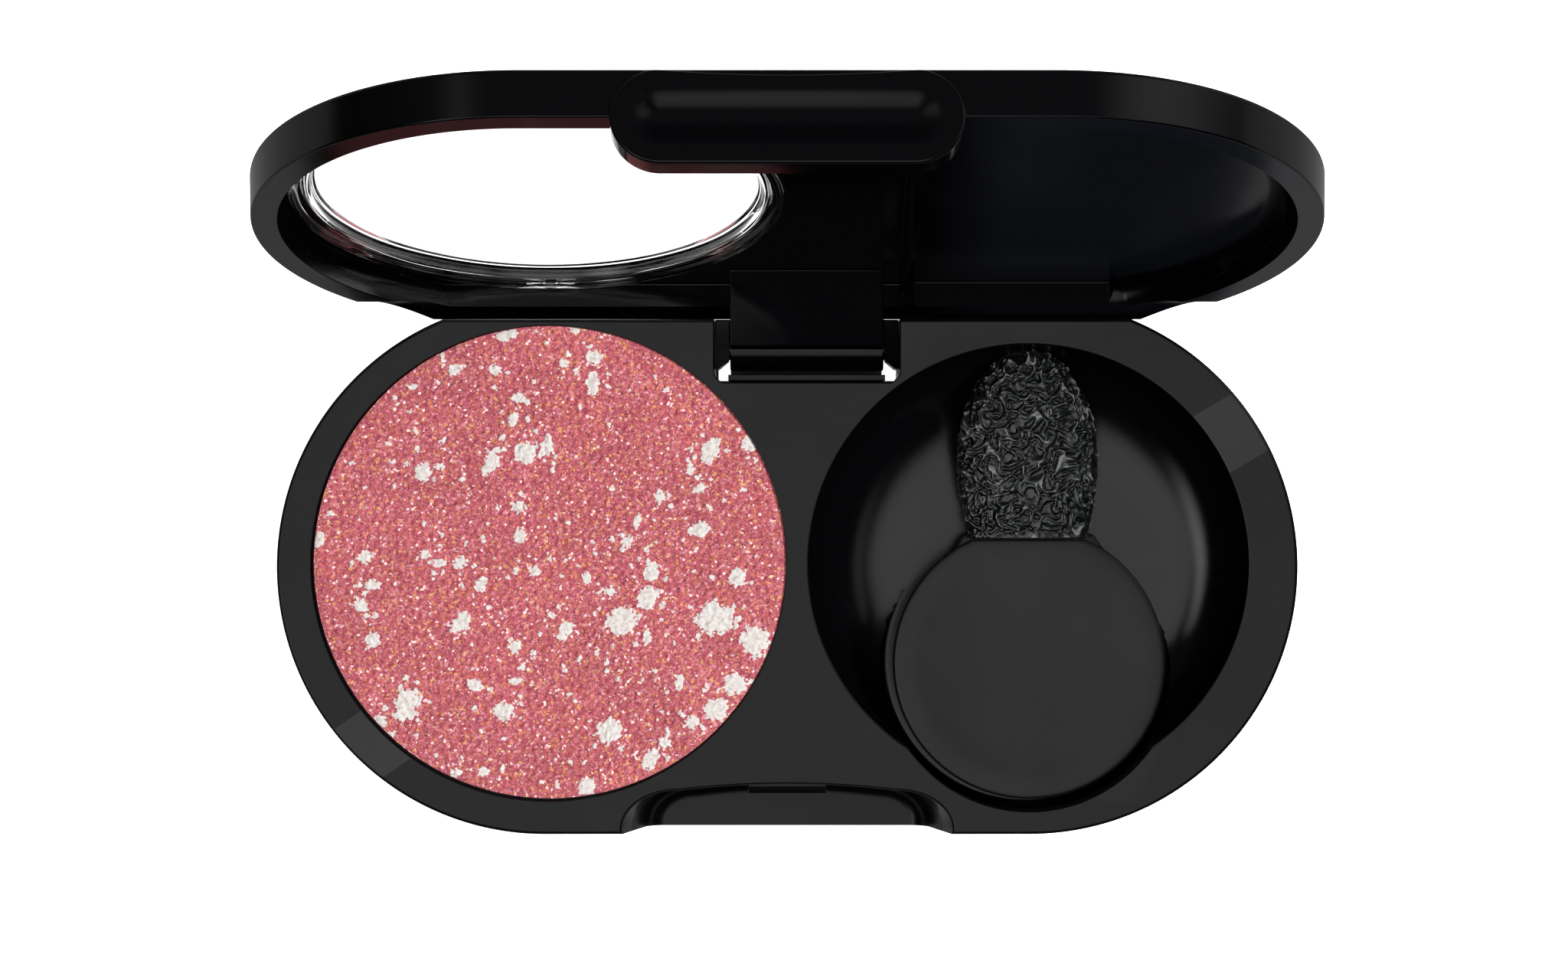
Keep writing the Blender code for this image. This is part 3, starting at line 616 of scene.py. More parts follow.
def sponge_material():
    """Shiny black foam skin, with a painted highlight: paler colour along the tops of its wrinkles.
    """
    material, net, shader = new_material("black_foam_skin")
    place = net.add("TexCoord").outputs["Object"]
    ridge = net.add("Attribute", attribute_name="ridge").outputs["Fac"]
    net.set(shader, {
        "Roughness": net.ramp(net.noise(place, scale=1400.0, detail=3.0),
                              [(0.3, 0.16), (0.75, 0.42)]),
        # painted highlight: the base colour is lighter where the wrinkle ridges are highest
        "Base Color": net.ramp(ridge, [
            (0.20, (0.0008, 0.0009, 0.0009)), (0.50, (0.0025, 0.0030, 0.0027)),
            (0.72, (0.012, 0.0130, 0.0124)), (0.95, (0.085, 0.087, 0.085))]),
        "Specular IOR Level": 0.9,
        "Normal": net.bump(net.noise(place, scale=3800.0, detail=2.0),
                           strength=0.35, distance=0.00004),
        "Coat Weight": 0.9,
        "Coat Roughness": 0.10,
    })
    return material


def metal(name, color, roughness, stretch):
    """Drawn metal: roughness streaks, long along the axis with the small stretch."""
    material, net, shader = new_material(name)
    place = net.add("TexCoord").outputs["Object"]
    streaks = net.noise(net.add("Mapping", Vector=place, Scale=stretch).outputs[0],
                        scale=2200.0, detail=3.0)
    net.set(shader, {
        "Roughness": net.ramp(streaks, [(0.3, roughness - 0.08), (0.7, roughness + 0.08)]),
        "Base Color": (*color, 1),
        "Metallic": 1.0,
    })
    return material


def matte(name, color, roughness, scale):
    material, net, shader = new_material(name)
    mottle = net.noise(net.add("TexCoord").outputs["Object"], scale=scale, detail=4.0)
    net.set(shader, {
        "Base Color": net.ramp(mottle, [(0.3, tuple(c * 0.93 for c in color)), (0.7, color)]),
        "Roughness": roughness,
        "Normal": net.bump(mottle, strength=0.3, distance=0.00003),
    })
    return material


MAT_CLEAR = clear_plastic()
MAT_POWDER = powder_material()
MAT_FOAM = sponge_material()
MAT_TIN = metal("pan_aluminium_drawn", color=(0.62, 0.62, 0.62), roughness=0.32,
                stretch=(1, 1, 0.2))
MAT_STEEL = metal("pin_steel_drawn", color=(0.40, 0.40, 0.41), roughness=0.28,
                  stretch=(0.05, 1, 1))
MAT_GLUE = matte("glue_cream", color=(0.30, 0.27, 0.21), roughness=0.5, scale=900.0)
MAT_LABEL = matte("label_paper", color=(0.33, 0.33, 0.32), roughness=0.62, scale=3000.0)

for node, material in (("powder_pan", MAT_TIN), ("pan_adhesive", MAT_GLUE),
                       ("hinge_pin", MAT_STEEL), ("shade_label", MAT_LABEL)):
    ob = frame["nodes"][node]
    if ob.material_slots:
        ob.material_slots[0].material = material
    else:
        ob.data.materials.append(material)


# ------------------------------------------------------------------ base shell and tray
def recess_cutter(top, flare):
    """Clasp recess: coved at the floor, its two ends leaning outwards."""
    rings = []
    for distance, z in cut_profile(RECESS_FLOOR, top, flare, cove=1.1):
        depth = max(0.0, min(1.0, (TOP - z) / (TOP - RECESS_FLOOR)))
        narrow = 1 - 0.15 * depth
        rings.append([(x * narrow, y, z) for x, y in offset(recess_outline(), distance)])
    return loft("recess", rings)


def well_rounds(well_margin, grip_margin, z0, z1):
    """The well's and the handle's rounds as one solid, each grown by its margin."""
    well_r, grip_r = WELL_R + well_margin, GRIP_WELL_R + grip_margin
    rounds = turned("rounds", WELL_X, WELL_Y, [(well_r, z0), (well_r, z1)])
    fuse(rounds, turned("grip_round", GRIP_X, GRIP_Y, [(grip_r, z0), (grip_r, z1)]))
    return rounds


def shell_inside(z0, z1):
    return prism("inside", stadium(END_R - SHELL_WALL, BACK - SHELL_WALL, 60), straight(z0, z1))


def base_shell():
    shell = prism("shell", stadium(END_R, BACK), slab_profile(0, SEAM, 0.7, 0.07, 8))
    # hollow, leaving walls round the notch and the recess
    hollow = shell_inside(1.0, 13)
    cut(hollow, prism("notch_wall", notch_outline(SHELL_WALL), straight(-1, 14)))
    wider = [(x * 1.06, y + 0.75) for x, y in recess_outline()]
    cut(hollow, prism("recess_wall", wider, straight(-1, 14)))
    cut(shell, hollow)
    # a bay and a post on each side of the notch
    for x0, x1 in ((NOTCH_X0 - 2.4, NOTCH_X0), (NOTCH_X1, NOTCH_X1 + 2.4)):
        cut(shell, block("bay", (x0, 11.55, 5.1), (x1, 13.75, 8)))
    for x0, x1 in ((NOTCH_X0 - 1.6, NOTCH_X0 - 0.4), (NOTCH_X1 + 0.4, NOTCH_X1 + 1.5)):
        fuse(shell, block("post", (x0, 12.28, 0.5), (x1, 13.32, HINGE_Z - 0.66)))
    cut(shell, prism("notch", notch_outline(), cut_profile(NOTCH_FLOOR, SEAM, 0.05)))
    # slots through the notch floor beside the lug, and a rib in front of it
    for x0, x1 in ((NOTCH_X0 + 0.12, LUG_X0 - 0.05), (LUG_X1 + 0.05, NOTCH_X1 + 0.02)):
        cut(shell, block("slot", (x0, NOTCH_Y + 0.30, -1), (x1, 18, 2)))
    rib = rectangle(LUG_X0 - 0.14, 11.02, LUG_X1 + 0.14, 11.36)
    fuse(shell, prism("rib", rib, [(0, 0.6), (0, 5.82), (-0.03, 5.85)]))
    cut(shell, recess_cutter(SEAM, 0.05))
    # shallow round for the label in the underside
    cut(shell, turned("label", PAN_X, PAN_Y,
                      [(9.45, -1), (9.45, -0.004), (9.30, 0.10), (9.30, 0.25)]))
    # room for the tray's bowl
    room = well_rounds(0.7, 0.6, WELL_FLOOR - 0.85, 13)
    keep_common(room, shell_inside(0, 14))
    cut(shell, room)
    clean(shell)
    finish_surface(shell, MAT_SHELL)
    return shell


def well_cutter():
    """Dished well: a flat floor drawn in towards the back, then a deep cove up to the face."""
    cove_top, lip = 8.75, 0.08
    shift_x, shift_y = 0.55, -0.45                   # floor centre from the well's centre
    face = TOP + FACE_OVERLAP
    # per direction: its angle, the floor's radius and the exponent of the cove's curve
    spokes = []
    for i in range(240):
        a = 2 * math.pi * i / 240
        back = max(0.0, math.sin(a))
        spokes.append((a, 7.75 - 2.6 * back ** 2, 2.55 - 0.45 * back))
    rings = [[(WELL_X + shift_x + 0.5 * flat * math.cos(a),
               WELL_Y + shift_y + 0.5 * flat * math.sin(a), WELL_FLOOR)
              for a, flat, _ in spokes]]
    for degrees in range(90, -1, -3):
        outward = max(0.0, math.cos(math.radians(degrees)))
        down = max(0.0, math.sin(math.radians(degrees)))
        ring = []
        for a, flat, exponent in spokes:
            blend = outward ** (2 / exponent)
            radius = flat + (WELL_R - flat) * blend
            ring.append((WELL_X + shift_x * (1 - blend) + radius * math.cos(a),
                         WELL_Y + shift_y * (1 - blend) + radius * math.sin(a),
                         cove_top - (cove_top - WELL_FLOOR) * down ** (2 / exponent)))
        rings.append(ring)
    lips = [(WELL_R + lip - lip * math.cos(a), face - 0.021 - lip + lip * math.sin(a))
            for a in angles(6, 88)[1:]]
    lips += [(WELL_R + lip + 0.085, face), (WELL_R + lip + 0.10, TOP + 4)]
    for radius, z in lips:
        rings.append([(x, y, z) for x, y in circle(WELL_X, WELL_Y, radius, len(spokes))])
    return loft("well", rings)


def add_ears(tray):
    """Stepped ear on each side of the notch, its top falling towards the back."""
    front, middle, step, back = 11.65, 12.2, 13.65, 14.588
    gap = (NOTCH_X1 - NOTCH_X0 - (LUG_X1 - LUG_X0)) / 2 - 0.025
    for side, edge in ((-1, NOTCH_X0), (1, NOTCH_X1)):
        outline = [(edge + side * 2.3, front), (edge - side * 0.26, front),
                   (edge - side * gap, middle), (edge - side * gap, back),
                   (edge - side * 0.03, back), (edge - side * 0.03, step),
                   (edge + side * 2.3, step)]
        if side > 0:
            outline = outline[::-1]
        ear = prism("ear", outline, [(0, 5.2), (0, 7.85), (-0.06, 7.95)])
        for vertex in ear.data.vertices:
            if vertex.co.z > 6 * MM:
                vertex.co.z -= 0.30 * (vertex.co.y - front * MM)
        fuse(tray, ear)


NUB = [  # (y, z), the small bar at the back of the clasp recess
    (-12.9, 7.75), (-12.3, 7.7), (-12.3, 8.58), (-12.9, 8.58), (-13.33, 8.42), (-13.33, 8.02),
]


def base_tray():
    tray = prism("tray", stadium(END_R, BACK), slab_profile(SEAM + 0.05, TOP, 0.07, 0.22, 6))
    # bowl that hangs into the shell under the well
    bowl = prism("bowl", stadium(END_R - 0.85, BACK - 0.85, 60),
                 straight(WELL_FLOOR - 0.8, SEAM + 0.4))
    keep_common(bowl, well_rounds(0.65, 0.55, 0, 12))
    fuse(tray, bowl)
    cut(tray, prism("notch", notch_outline(), cut_profile(NOTCH_FLOOR, TOP, 0.10)))
    add_ears(tray)
    cut(tray, well_cutter())
    cut(tray, prism("grip_well", circle(GRIP_X, GRIP_Y, GRIP_WELL_R),
                    cut_profile(WELL_FLOOR, TOP, 0.10, cove=0.4)))
    cut(tray, prism("pocket", circle(PAN_X, PAN_Y, PAN_OPEN_R), cut_profile(7.2, TOP, 0.07)))
    cut(tray, recess_cutter(TOP, 0.16))
    fuse(tray, prism_x("nub", round_corners(NUB, 0.05, 4),
                       [(-0.04, -2.3), (0, -2.26), (0, 2.26), (-0.04, 2.3)]))
    # hinge pin: a slot open from below, and the bore
    x0, x1 = PIN_LO[0] - 0.1, PIN_HI[0] + 0.1
    cut(tray, block("slot", (x0, HINGE_Y - BORE_R, 4), (x1, HINGE_Y + BORE_R, HINGE_Z)))
    cut(tray, prism_x("bore", circle(HINGE_Y, HINGE_Z, BORE_R, 48), straight(x0, x1)))
    clean(tray)
    finish_surface(tray, MAT_TRAY)
    return tray


# ------------------------------------------------------------------ powder cake
FLECKS = [  # x, y from the cake's centre, half length, half width, tilt in degrees
    (9.72, -3.34, 1.15, 0.90, 0), (-8.35, -8.36, 1.02, 0.72, 65), (4.18, -3.46, 0.92, 0.80, 30),
    (12.06, -4.60, 0.94, 0.82, -30), (9.82, -8.62, 0.78, 0.62, 10), (3.50, -9.92, 0.80, 0.66, 40),
    (10.85, -7.16, 0.66, 0.60, 0), (5.73, -2.10, 0.76, 0.56, 55), (-1.44, 6.40, 0.66, 0.60, 0),
    (-3.45, 5.88, 0.92, 0.36, 62), (9.45, 6.55, 0.78, 0.52, 70), (-2.70, -8.78, 0.60, 0.56, 0),
    (-2.49, 13.35, 0.66, 0.34, 15), (-7.46, 5.26, 0.56, 0.48, 80), (-5.18, -3.56, 0.64, 0.50, 60),
    (2.14, -13.15, 0.62, 0.46, 0), (5.86, -11.58, 0.66, 0.46, 60), (8.82, 1.92, 0.58, 0.46, 20),
    (11.0, -0.87, 0.58, 0.44, 60), (11.74, 6.97, 0.50, 0.42, 90), (2.56, 12.02, 0.46, 0.40, 0),
    (2.52, 10.48, 0.70, 0.38, 85), (-0.20, 6.72, 0.48, 0.38, 60), (6.0, -0.56, 0.56, 0.42, 80),
    (0.93, -3.92, 0.46, 0.38, 10), (-10.38, -4.5, 0.48, 0.38, 80), (-11.06, -2.58, 0.42, 0.40, 0),
    (-10.84, 0.30, 0.40, 0.34, 30), (-4.40, -7.18, 0.42, 0.36, 0), (8.36, -9.44, 0.44, 0.40, 60),
    (-4.02, -1.27, 0.40, 0.34, 50), (-5.23, -0.02, 0.40, 0.32, 20), (-6.46, -0.02, 0.42, 0.26, 0),
    (-1.82, 3.26, 0.40, 0.34, 30), (-1.78, 1.54, 0.44, 0.34, 70), (-13.55, 1.34, 0.46, 0.30, 80),
    (-5.60, 11.3, 0.40, 0.32, 0), (-3.23, 11.3, 0.34, 0.30, 0), (-2.16, 8.34, 0.48, 0.30, 75),
    (-1.82, 9.63, 0.44, 0.24, 0), (6.49, 3.84, 0.42, 0.28, 80), (5.13, 2.42, 0.48, 0.20, 75),
    (4.55, 1.23, 0.36, 0.28, 60), (8.72, 4.30, 0.38, 0.30, 0), (8.30, 5.51, 0.34, 0.28, 60),
    (-0.87, -0.5, 0.34, 0.30, 0), (2.18, -0.92, 0.38, 0.24, 85), (3.56, -1.70, 0.30, 0.28, 0),
    (-2.04, -4.93, 0.38, 0.34, 90), (-1.99, -6.98, 0.40, 0.20, 0), (7.58, -7.12, 0.46, 0.28, 80),
    (5.76, -4.40, 0.44, 0.24, 80), (-9.92, -9.36, 0.38, 0.34, 0), (6.70, -10.57, 0.36, 0.32, 0),
    (-10.40, -1.33, 0.46, 0.30, 10), (-7.98, 10.30, 0.42, 0.16, 0), (0.80, 11.66, 0.26, 0.26, 0),
    (1.45, 13.64, 0.34, 0.22, 0), (-7.31, 0.47, 0.28, 0.26, 0), (-3.90, -12.33, 0.28, 0.26, 0),
    (-5.48, -12.38, 0.28, 0.28, 0),
]


def crumbs():
    """Small flecks: some thrown around each large one, the rest all over the cake."""
    draw = random.Random(7)
    found = []

    def crumb(x, y, distance, direction, size, longest):
        found.append((x + distance * math.cos(direction), y + distance * math.sin(direction),
                      size * draw.uniform(0.8, longest), size, draw.uniform(0, 180)))

    for x, y, half_length, _, _ in FLECKS:
        for _ in range(5 if half_length > 0.5 else 3):
            distance = half_length + abs(draw.gauss(0, 0.9)) + 0.1
            direction = draw.uniform(0, 2 * math.pi)
            crumb(x, y, distance, direction, draw.uniform(0.05, 0.16), 1.5)
    for _ in range(150):
        direction = draw.uniform(0, 2 * math.pi)
        distance = 13.3 * math.sqrt(draw.random())
        crumb(0.0, 0.0, distance, direction, draw.uniform(0.05, 0.14), 1.7)
    return found


def square_to_disc(u, v):
    """Square [-1, 1] to the unit disc, with nearly even cells."""
    wide = np.abs(u) > np.abs(v)
    radius = np.where(wide, u, v)
    angle = np.where(wide, (math.pi / 4) * (v / np.where(u == 0, 1, u)),
                     math.pi / 2 - (math.pi / 4) * (u / np.where(v == 0, 1, v)))
    return radius * np.cos(angle), radius * np.sin(angle)


def noise_field(x, y, scale, seed, octaves=1):
    shift_x, shift_y = 13.7 * seed, 7.1 * seed
    points = [Vector((a * scale + shift_x, b * scale + shift_y, seed)) for a, b in zip(x, y)]
    if octaves == 1:
        return np.array([noise.noise(p) for p in points])
    return np.array([noise.fractal(p, 0.8, 2.0, octaves) for p in points])


def fleck_mask(x, y):
    """1 inside a fleck, 0 outside, with a soft ragged edge."""
    mask = np.zeros(len(x))
    ragged = noise_field(x, y, scale=2.6, seed=9, octaves=4)
    for fleck_x, fleck_y, half_length, half_width, tilt in FLECKS + crumbs():
        reach = half_length * 2 + 0.3
        near = (np.abs(x - fleck_x) < reach) & (np.abs(y - fleck_y) < reach)
        c, s = math.cos(math.radians(tilt)), math.sin(math.radians(tilt))
        dx, dy = x[near] - fleck_x, y[near] - fleck_y
        along, across = (dx * c + dy * s) / half_length, (-dx * s + dy * c) / half_width
        distance = np.sqrt(along * along + across * across)
        soft = 0.25 / max(0.25, min(1.0, half_length))
        tear = 0.42 * ragged[near] * min(1.0, half_length * 1.6 + 0.3)
        value = 1.0 - (distance - 1.0 + tear) / soft * 0.5 - 0.5
        mask[near] = np.maximum(mask[near], np.clip(value, 0, 1))
    return mask


def powder_height(x, y, radius, mask):
    """Relief of the cake's face."""
    warp = 0.10 * noise_field(x, y, scale=0.9, seed=3)

    def ribs(degrees, pitch):
        a = math.radians(degrees)
        return np.sin(2 * math.pi * (x * math.sin(a) - y * math.cos(a) + warp) / pitch)

    # slanted linen ribs crossed by a fainter upright weave
    emboss = 0.55 * ribs(52, 0.46) + 0.45 * ribs(96, 0.52)
    grain = noise_field(x, y, scale=4.2, seed=5)
    fine = noise_field(x, y, scale=9.0, seed=6)
    lump = noise_field(x, y, scale=3.1, seed=12, octaves=3)
    height = 0.046 * emboss + 0.044 * grain + 0.034 * fine
    height = height * (1 - 0.8 * mask) + mask * (0.055 + 0.075 * lump + 0.045 * fine)
    edge = np.clip((radius - (CAKE_R - 0.5)) / 0.44, 0, 1)
    return height * (1 - edge * 0.7) - 0.05 * edge ** 3


def powder_cake():
    cells = 330
    row = cells + 1
    grid = np.linspace(-1, 1, row)
    u, v = np.meshgrid(grid, grid)
    x, y = square_to_disc(u.ravel(), v.ravel())
    x, y = x * (CAKE_R - 0.06), y * (CAKE_R - 0.06)
    radius = np.hypot(x, y)
    mask = fleck_mask(x, y)
    z = CAKE_TOP - 0.05 + powder_height(x, y, radius, mask)
    centre_x, centre_y = PAN_X + 0.07, PAN_Y + 0.07
    points = [(centre_x + a, centre_y + b, c) for a, b, c in zip(x, y, z)]
    faces = []
    for j in range(cells):
        for i in range(cells):
            k = j * row + i
            faces.append((k, k + 1, k + row + 1, k + row))
    # the rim of the grid is carried down the side and in under the pan's edge
    rim = list(range(cells)) + [cells + row * j for j in range(cells)]
    rim += [row * cells + cells - i for i in range(cells)]
    rim += [row * (cells - j) for j in range(cells)]
    ledge = PAN_HI[2] + 0.05
    side, foot = CAKE_R - 0.01, CAKE_R - 0.56
    previous = rim
    for ring_r, ring_z in ((side, CAKE_TOP - 0.11), (side, ledge), (foot, ledge),
                           (foot, CAKE_LO[2] + 0.02)):
        start = len(points)
        for k in rim:
            scale = ring_r / max(radius[k], 1e-6)
            points.append((centre_x + x[k] * scale, centre_y + y[k] * scale, ring_z))
        current = list(range(start, len(points)))
        for i in range(len(rim)):
            j = (i + 1) % len(rim)
            faces.append((previous[j], previous[i], current[i], current[j]))
        previous = current
    faces.append(tuple(previous)[::-1])
    values = np.zeros(len(points), np.float32)
    values[:len(mask)] = mask
    ob = new_object("powder_cake_fine", points, faces, weld=False,
                    point_values=("fleck", values))
    ob.data.materials.append(MAT_POWDER)
    ob.data.shade_smooth()
    ob.data.set_sharp_from_angle(angle=math.radians(60))
    return ob


# ------------------------------------------------------------------ applicator
GRIP_DISH = [  # inset from the edge, drop below the top
    (0.35, 0.018), (0.65, 0.004), (1.0, 0.0), (1.35, 0.012), (1.75, 0.045), (2.2, 0.080),
    (2.8, 0.110), (3.6, 0.130), (4.6, 0.145), (5.6, 0.155), (6.8, 0.16),
]
GRIP_UNDERSIDE = [(6.5, 0.30), (3.5, 0.25), (2.2, 0.04), (1.4, 0.0)]  # inset, rise


def handle():
    """Disc with a flat at the back, a dished top, and a stem into the sponge."""
    flat = GRIP_FLAT_Y
    rise = math.asin((flat - GRIP_Y) / GRIP_R)
    disc = []
    for i in range(201):
        a = math.pi - rise + (math.pi + 2 * rise) * i / 200
        disc.append((GRIP_X + GRIP_R * math.cos(a), GRIP_Y + GRIP_R * math.sin(a)))
    # soften the two corners where the disc meets its flat
    corners = [disc[-5], (disc[-1][0] - 0.05, flat), (disc[0][0] + 0.05, flat), disc[4]]
    outline = disc[4:-4] + round_corners(corners, [0, 0.5, 0.5, 0], 8)[1:-1]
    edge_r, edge_h = 0.20, 0.24
    profile = [(-inset, GRIP_Z0 + up) for inset, up in GRIP_UNDERSIDE]
    profile += round_foot(0.55, GRIP_Z0, 8, inset=0.26)
    profile += [(-edge_r + edge_r * math.cos(a), GRIP_Z1 - 0.03 - edge_h + edge_h * math.sin(a))
                for a in angles(10, 80)]
    profile += [(-inset, GRIP_Z1 - drop) for inset, drop in GRIP_DISH]
    rings = []
    for distance, z in profile:
        scale = 1 + distance / GRIP_R
        rings.append([(GRIP_X + (x - GRIP_X) * scale, GRIP_Y + (y - GRIP_Y) * scale, z)
                      for x, y in outline])
    ob = loft("handle", rings)
    shoulder = [(GRIP_X - 5.9, flat - 2.6), (GRIP_X + 5.9, flat - 2.6),
                (GRIP_X + 3.85, flat + 0.32), (GRIP_X - 3.85, flat + 0.32)]
    fuse(ob, prism("shoulder", round_corners(shoulder, 0.38, 6),
                   slab_profile(GRIP_Z0 + 1.0, GRIP_Z1 - 1.1, 0.3, 0.3, 5)))
    stem = rectangle(GRIP_X - 1.6, flat - 1, GRIP_X + 1.6, flat + 6.5)
    fuse(ob, prism("stem", round_corners(stem, [0.2, 0.2, 0.8, 0.8], 6),
                   slab_profile(FOAM_MID - 0.5, FOAM_MID + 0.5, 0.15, 0.15, 4)))
    clean(ob)
    finish_surface(ob, MAT_GRIP, 32)
    return ob


FOAM_HALF_WIDTH, FOAM_HALF_HEIGHT = 4.13, 1.42
FOAM_WIDEST = 0.41                       # share of the length where it is widest


def foam_half_width(t):
    if t < FOAM_WIDEST:
        return 3.48 + 0.65 * math.sin(math.pi / 2 * t / FOAM_WIDEST)
    s = (t - FOAM_WIDEST) / (1 - FOAM_WIDEST)
    return FOAM_HALF_WIDTH * math.sqrt(max(0.0, 1 - s * s))


def foam_ring(t, around):
    """Cross-section at share t of the length, about the sponge's own axis."""
    width = foam_half_width(min(t, 0.9995))
    height = FOAM_HALF_HEIGHT * (1 - 0.10 * max(0, t - 0.2))
    height *= min(1.0, (max(width, 0.02) / FOAM_HALF_WIDTH) ** 0.55)
    height *= 0.93 + 0.07 * min(1, t / 0.1)
    y = FOAM_Y0 + t * (FOAM_Y1 - FOAM_Y0)
    ring = []
    for i in range(around):
        a = 2 * math.pi * i / around
        ca, sa = math.cos(a), math.sin(a)
        ring.append((width * math.copysign(abs(ca) ** 0.92, ca), y,
                     height * math.copysign(abs(sa) ** 0.80, sa)))
    return ring


def surface_normals(surface):
    """Unit normals of a grid of rings, pointing away from each ring's middle."""
    around = np.roll(surface, -1, 1) - np.roll(surface, 1, 1)
    along = np.empty_like(surface)
    along[1:-1] = surface[2:] - surface[:-2]
    along[0] = surface[1] - surface[0]
    along[-1] = surface[-1] - surface[-2]
    normals = np.cross(along, around)
    length = np.linalg.norm(normals, axis=2, keepdims=True)
    length[length < 1e-9] = 1e-9
    normals /= length
    middle = surface.mean(1, keepdims=True)
    inward = ((surface - middle) * normals).sum(2, keepdims=True) < 0
    return np.where(inward, -normals, normals)


def wrinkle(point):
    """Worm-like wrinkles: ridge strength and a fine ripple."""
    warp = [noise.noise(point * 0.9 + Vector(shift)) for shift in ((5, 1, 2), (9, 4, 7), (2, 8, 3))]
    bent = point + Vector(warp) * 0.5
    large = 1 - min(1.0, abs(noise.noise(bent * 1.25)) * 3.0)
    small = 1 - min(1.0, abs(noise.noise(bent * 2.1 + Vector((7, 7, 7)))) * 2.8)
    return 0.55 * large ** 1.3 + 0.45 * small ** 1.3, noise.noise(bent * 4.2)


def sponge():
    along, around = ((240, 380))
    rings = []
    for k in range(along + 1):
        t = k / along
        # closer rings near the tip
        rings.append(foam_ring(math.sin(t * math.pi / 2) * 0.35 + t * 0.65, around))
    surface = np.array(rings)
    lift = np.empty((len(rings), around))
    ridge = np.empty((len(rings), around))
    for k in range(len(rings)):
        fade = min(1.0, (surface[k, 0, 1] - FOAM_Y0) / 0.5 + 0.15)
        for i in range(around):
            ridge[k, i], ripple = wrinkle(Vector(surface[k, i]))
            lift[k, i] = fade * (0.235 * ridge[k, i] + 0.04 * ripple - 0.13)
    wrinkled = surface + surface_normals(surface) * lift[..., None]
    wrinkled[..., 1] = np.minimum(wrinkled[..., 1], FOAM_Y1 + 0.05)
    points = [(GRIP_X + x, y, FOAM_MID + z) for x, y, z in wrinkled.reshape(-1, 3)]
    faces = ring_quads(len(rings), around)
    faces.append(tuple(range(around)))
    faces.append(tuple(range(along * around, (along + 1) * around)))
    ob = new_object("applicator_sponge_fine", points, faces, weld=False,
                    point_values=("ridge", ridge.ravel().astype(np.float32)))
    ob.data.materials.append(MAT_FOAM)
    ob.data.shade_smooth()
    # slot that takes the handle's stem, then a straight cut at the handle's flat
    cut(ob, block("slot", (GRIP_X - 1.66, FOAM_Y0 - 2, FOAM_MID - 0.56),
                  (GRIP_X + 1.66, GRIP_FLAT_Y + 6.6, FOAM_MID + 0.56)))
    cut(ob, block("trim", (GRIP_X - 10, FOAM_Y0 - 4, 0), (GRIP_X + 10, GRIP_FLAT_Y + 0.05, 20)))
    return ob


# ------------------------------------------------------------------ lid, drawn closed
LID_RIM = TOP + 0.04
LID_INNER_R = LID_R - LID_WALL
LID_BACK_IN = BACK - 1.39                # inner face of the lid's back wall
LUG_R = 1.25


def cavity_profile(cove, top, steps=10):
    """From below the rim, over its rounded inner lip, to a coved ceiling."""
    lip = 0.06
    z = LID_RIM - 0.003
    profile = [(0.08, LID_RIM - 3), (lip, z)]
    profile += [(lip - lip * math.sin(a), z + lip - lip * math.cos(a)) for a in angles(4)[1:]]
    return profile + round_head(cove, top, steps)


def cut_lid_cavities(lid):
    """Left part under the window, right part with a large cove, and its straight back."""
    back = LID_BACK_IN
    whole = stadium(LID_INNER_R, back)
    left_end = [p for p in whole if p[0] <= -HALF + 1e-6]
    right_end = [p for p in whole if p[0] >= HALF - 1e-6]
    left = [(6.7, -LID_INNER_R), (6.7, back)] + left_end
    corners = [right_end[-1], (6.3, back), (6.3, -LID_INNER_R), right_end[0]]
    right = right_end + round_corners(corners, [0, 1.9, 1.9, 0], 12)[1:-1]
    cut(lid, prism("cavity_left", left, cavity_profile(0.12, LID_CEILING)))
    cut(lid, prism("cavity_right", right, cavity_profile(1.6, LID_CEILING + 0.12, 14)))
    x1 = HALF + math.sqrt(LID_INNER_R ** 2 - back ** 2) - 0.5
    strip = round_corners(rectangle(7.2, back - 4.0, x1, back), [0.6, 0.6, 0.5, 0.5], 8)
    cut(lid, prism("cavity_back", strip, cavity_profile(0.10, LID_CEILING + 0.12)))


def cut_hinge_relief(lid):
    """Swing relief round the hinge axis and the open stop along the back edge."""
    cut(lid, prism_x("relief", circle(HINGE_Y, HINGE_Z, 2.92, 120), straight(-40, 40)))
    slope = math.radians(111.35)

    def stop_z(v):
        """Height of the stop face at v in front of the axis."""
        return HINGE_Z + (1.79 + v * math.cos(slope)) / math.sin(slope)

    near, far = 0.9, 3.0
    wedge = [(HINGE_Y + near, stop_z(-near) - 1.2), (HINGE_Y + far, stop_z(-near) - 1.2),
             (HINGE_Y + far, stop_z(-far)), (HINGE_Y + near, stop_z(-near))]
    cut(lid, prism_x("stop", wedge, straight(-40, 40)))


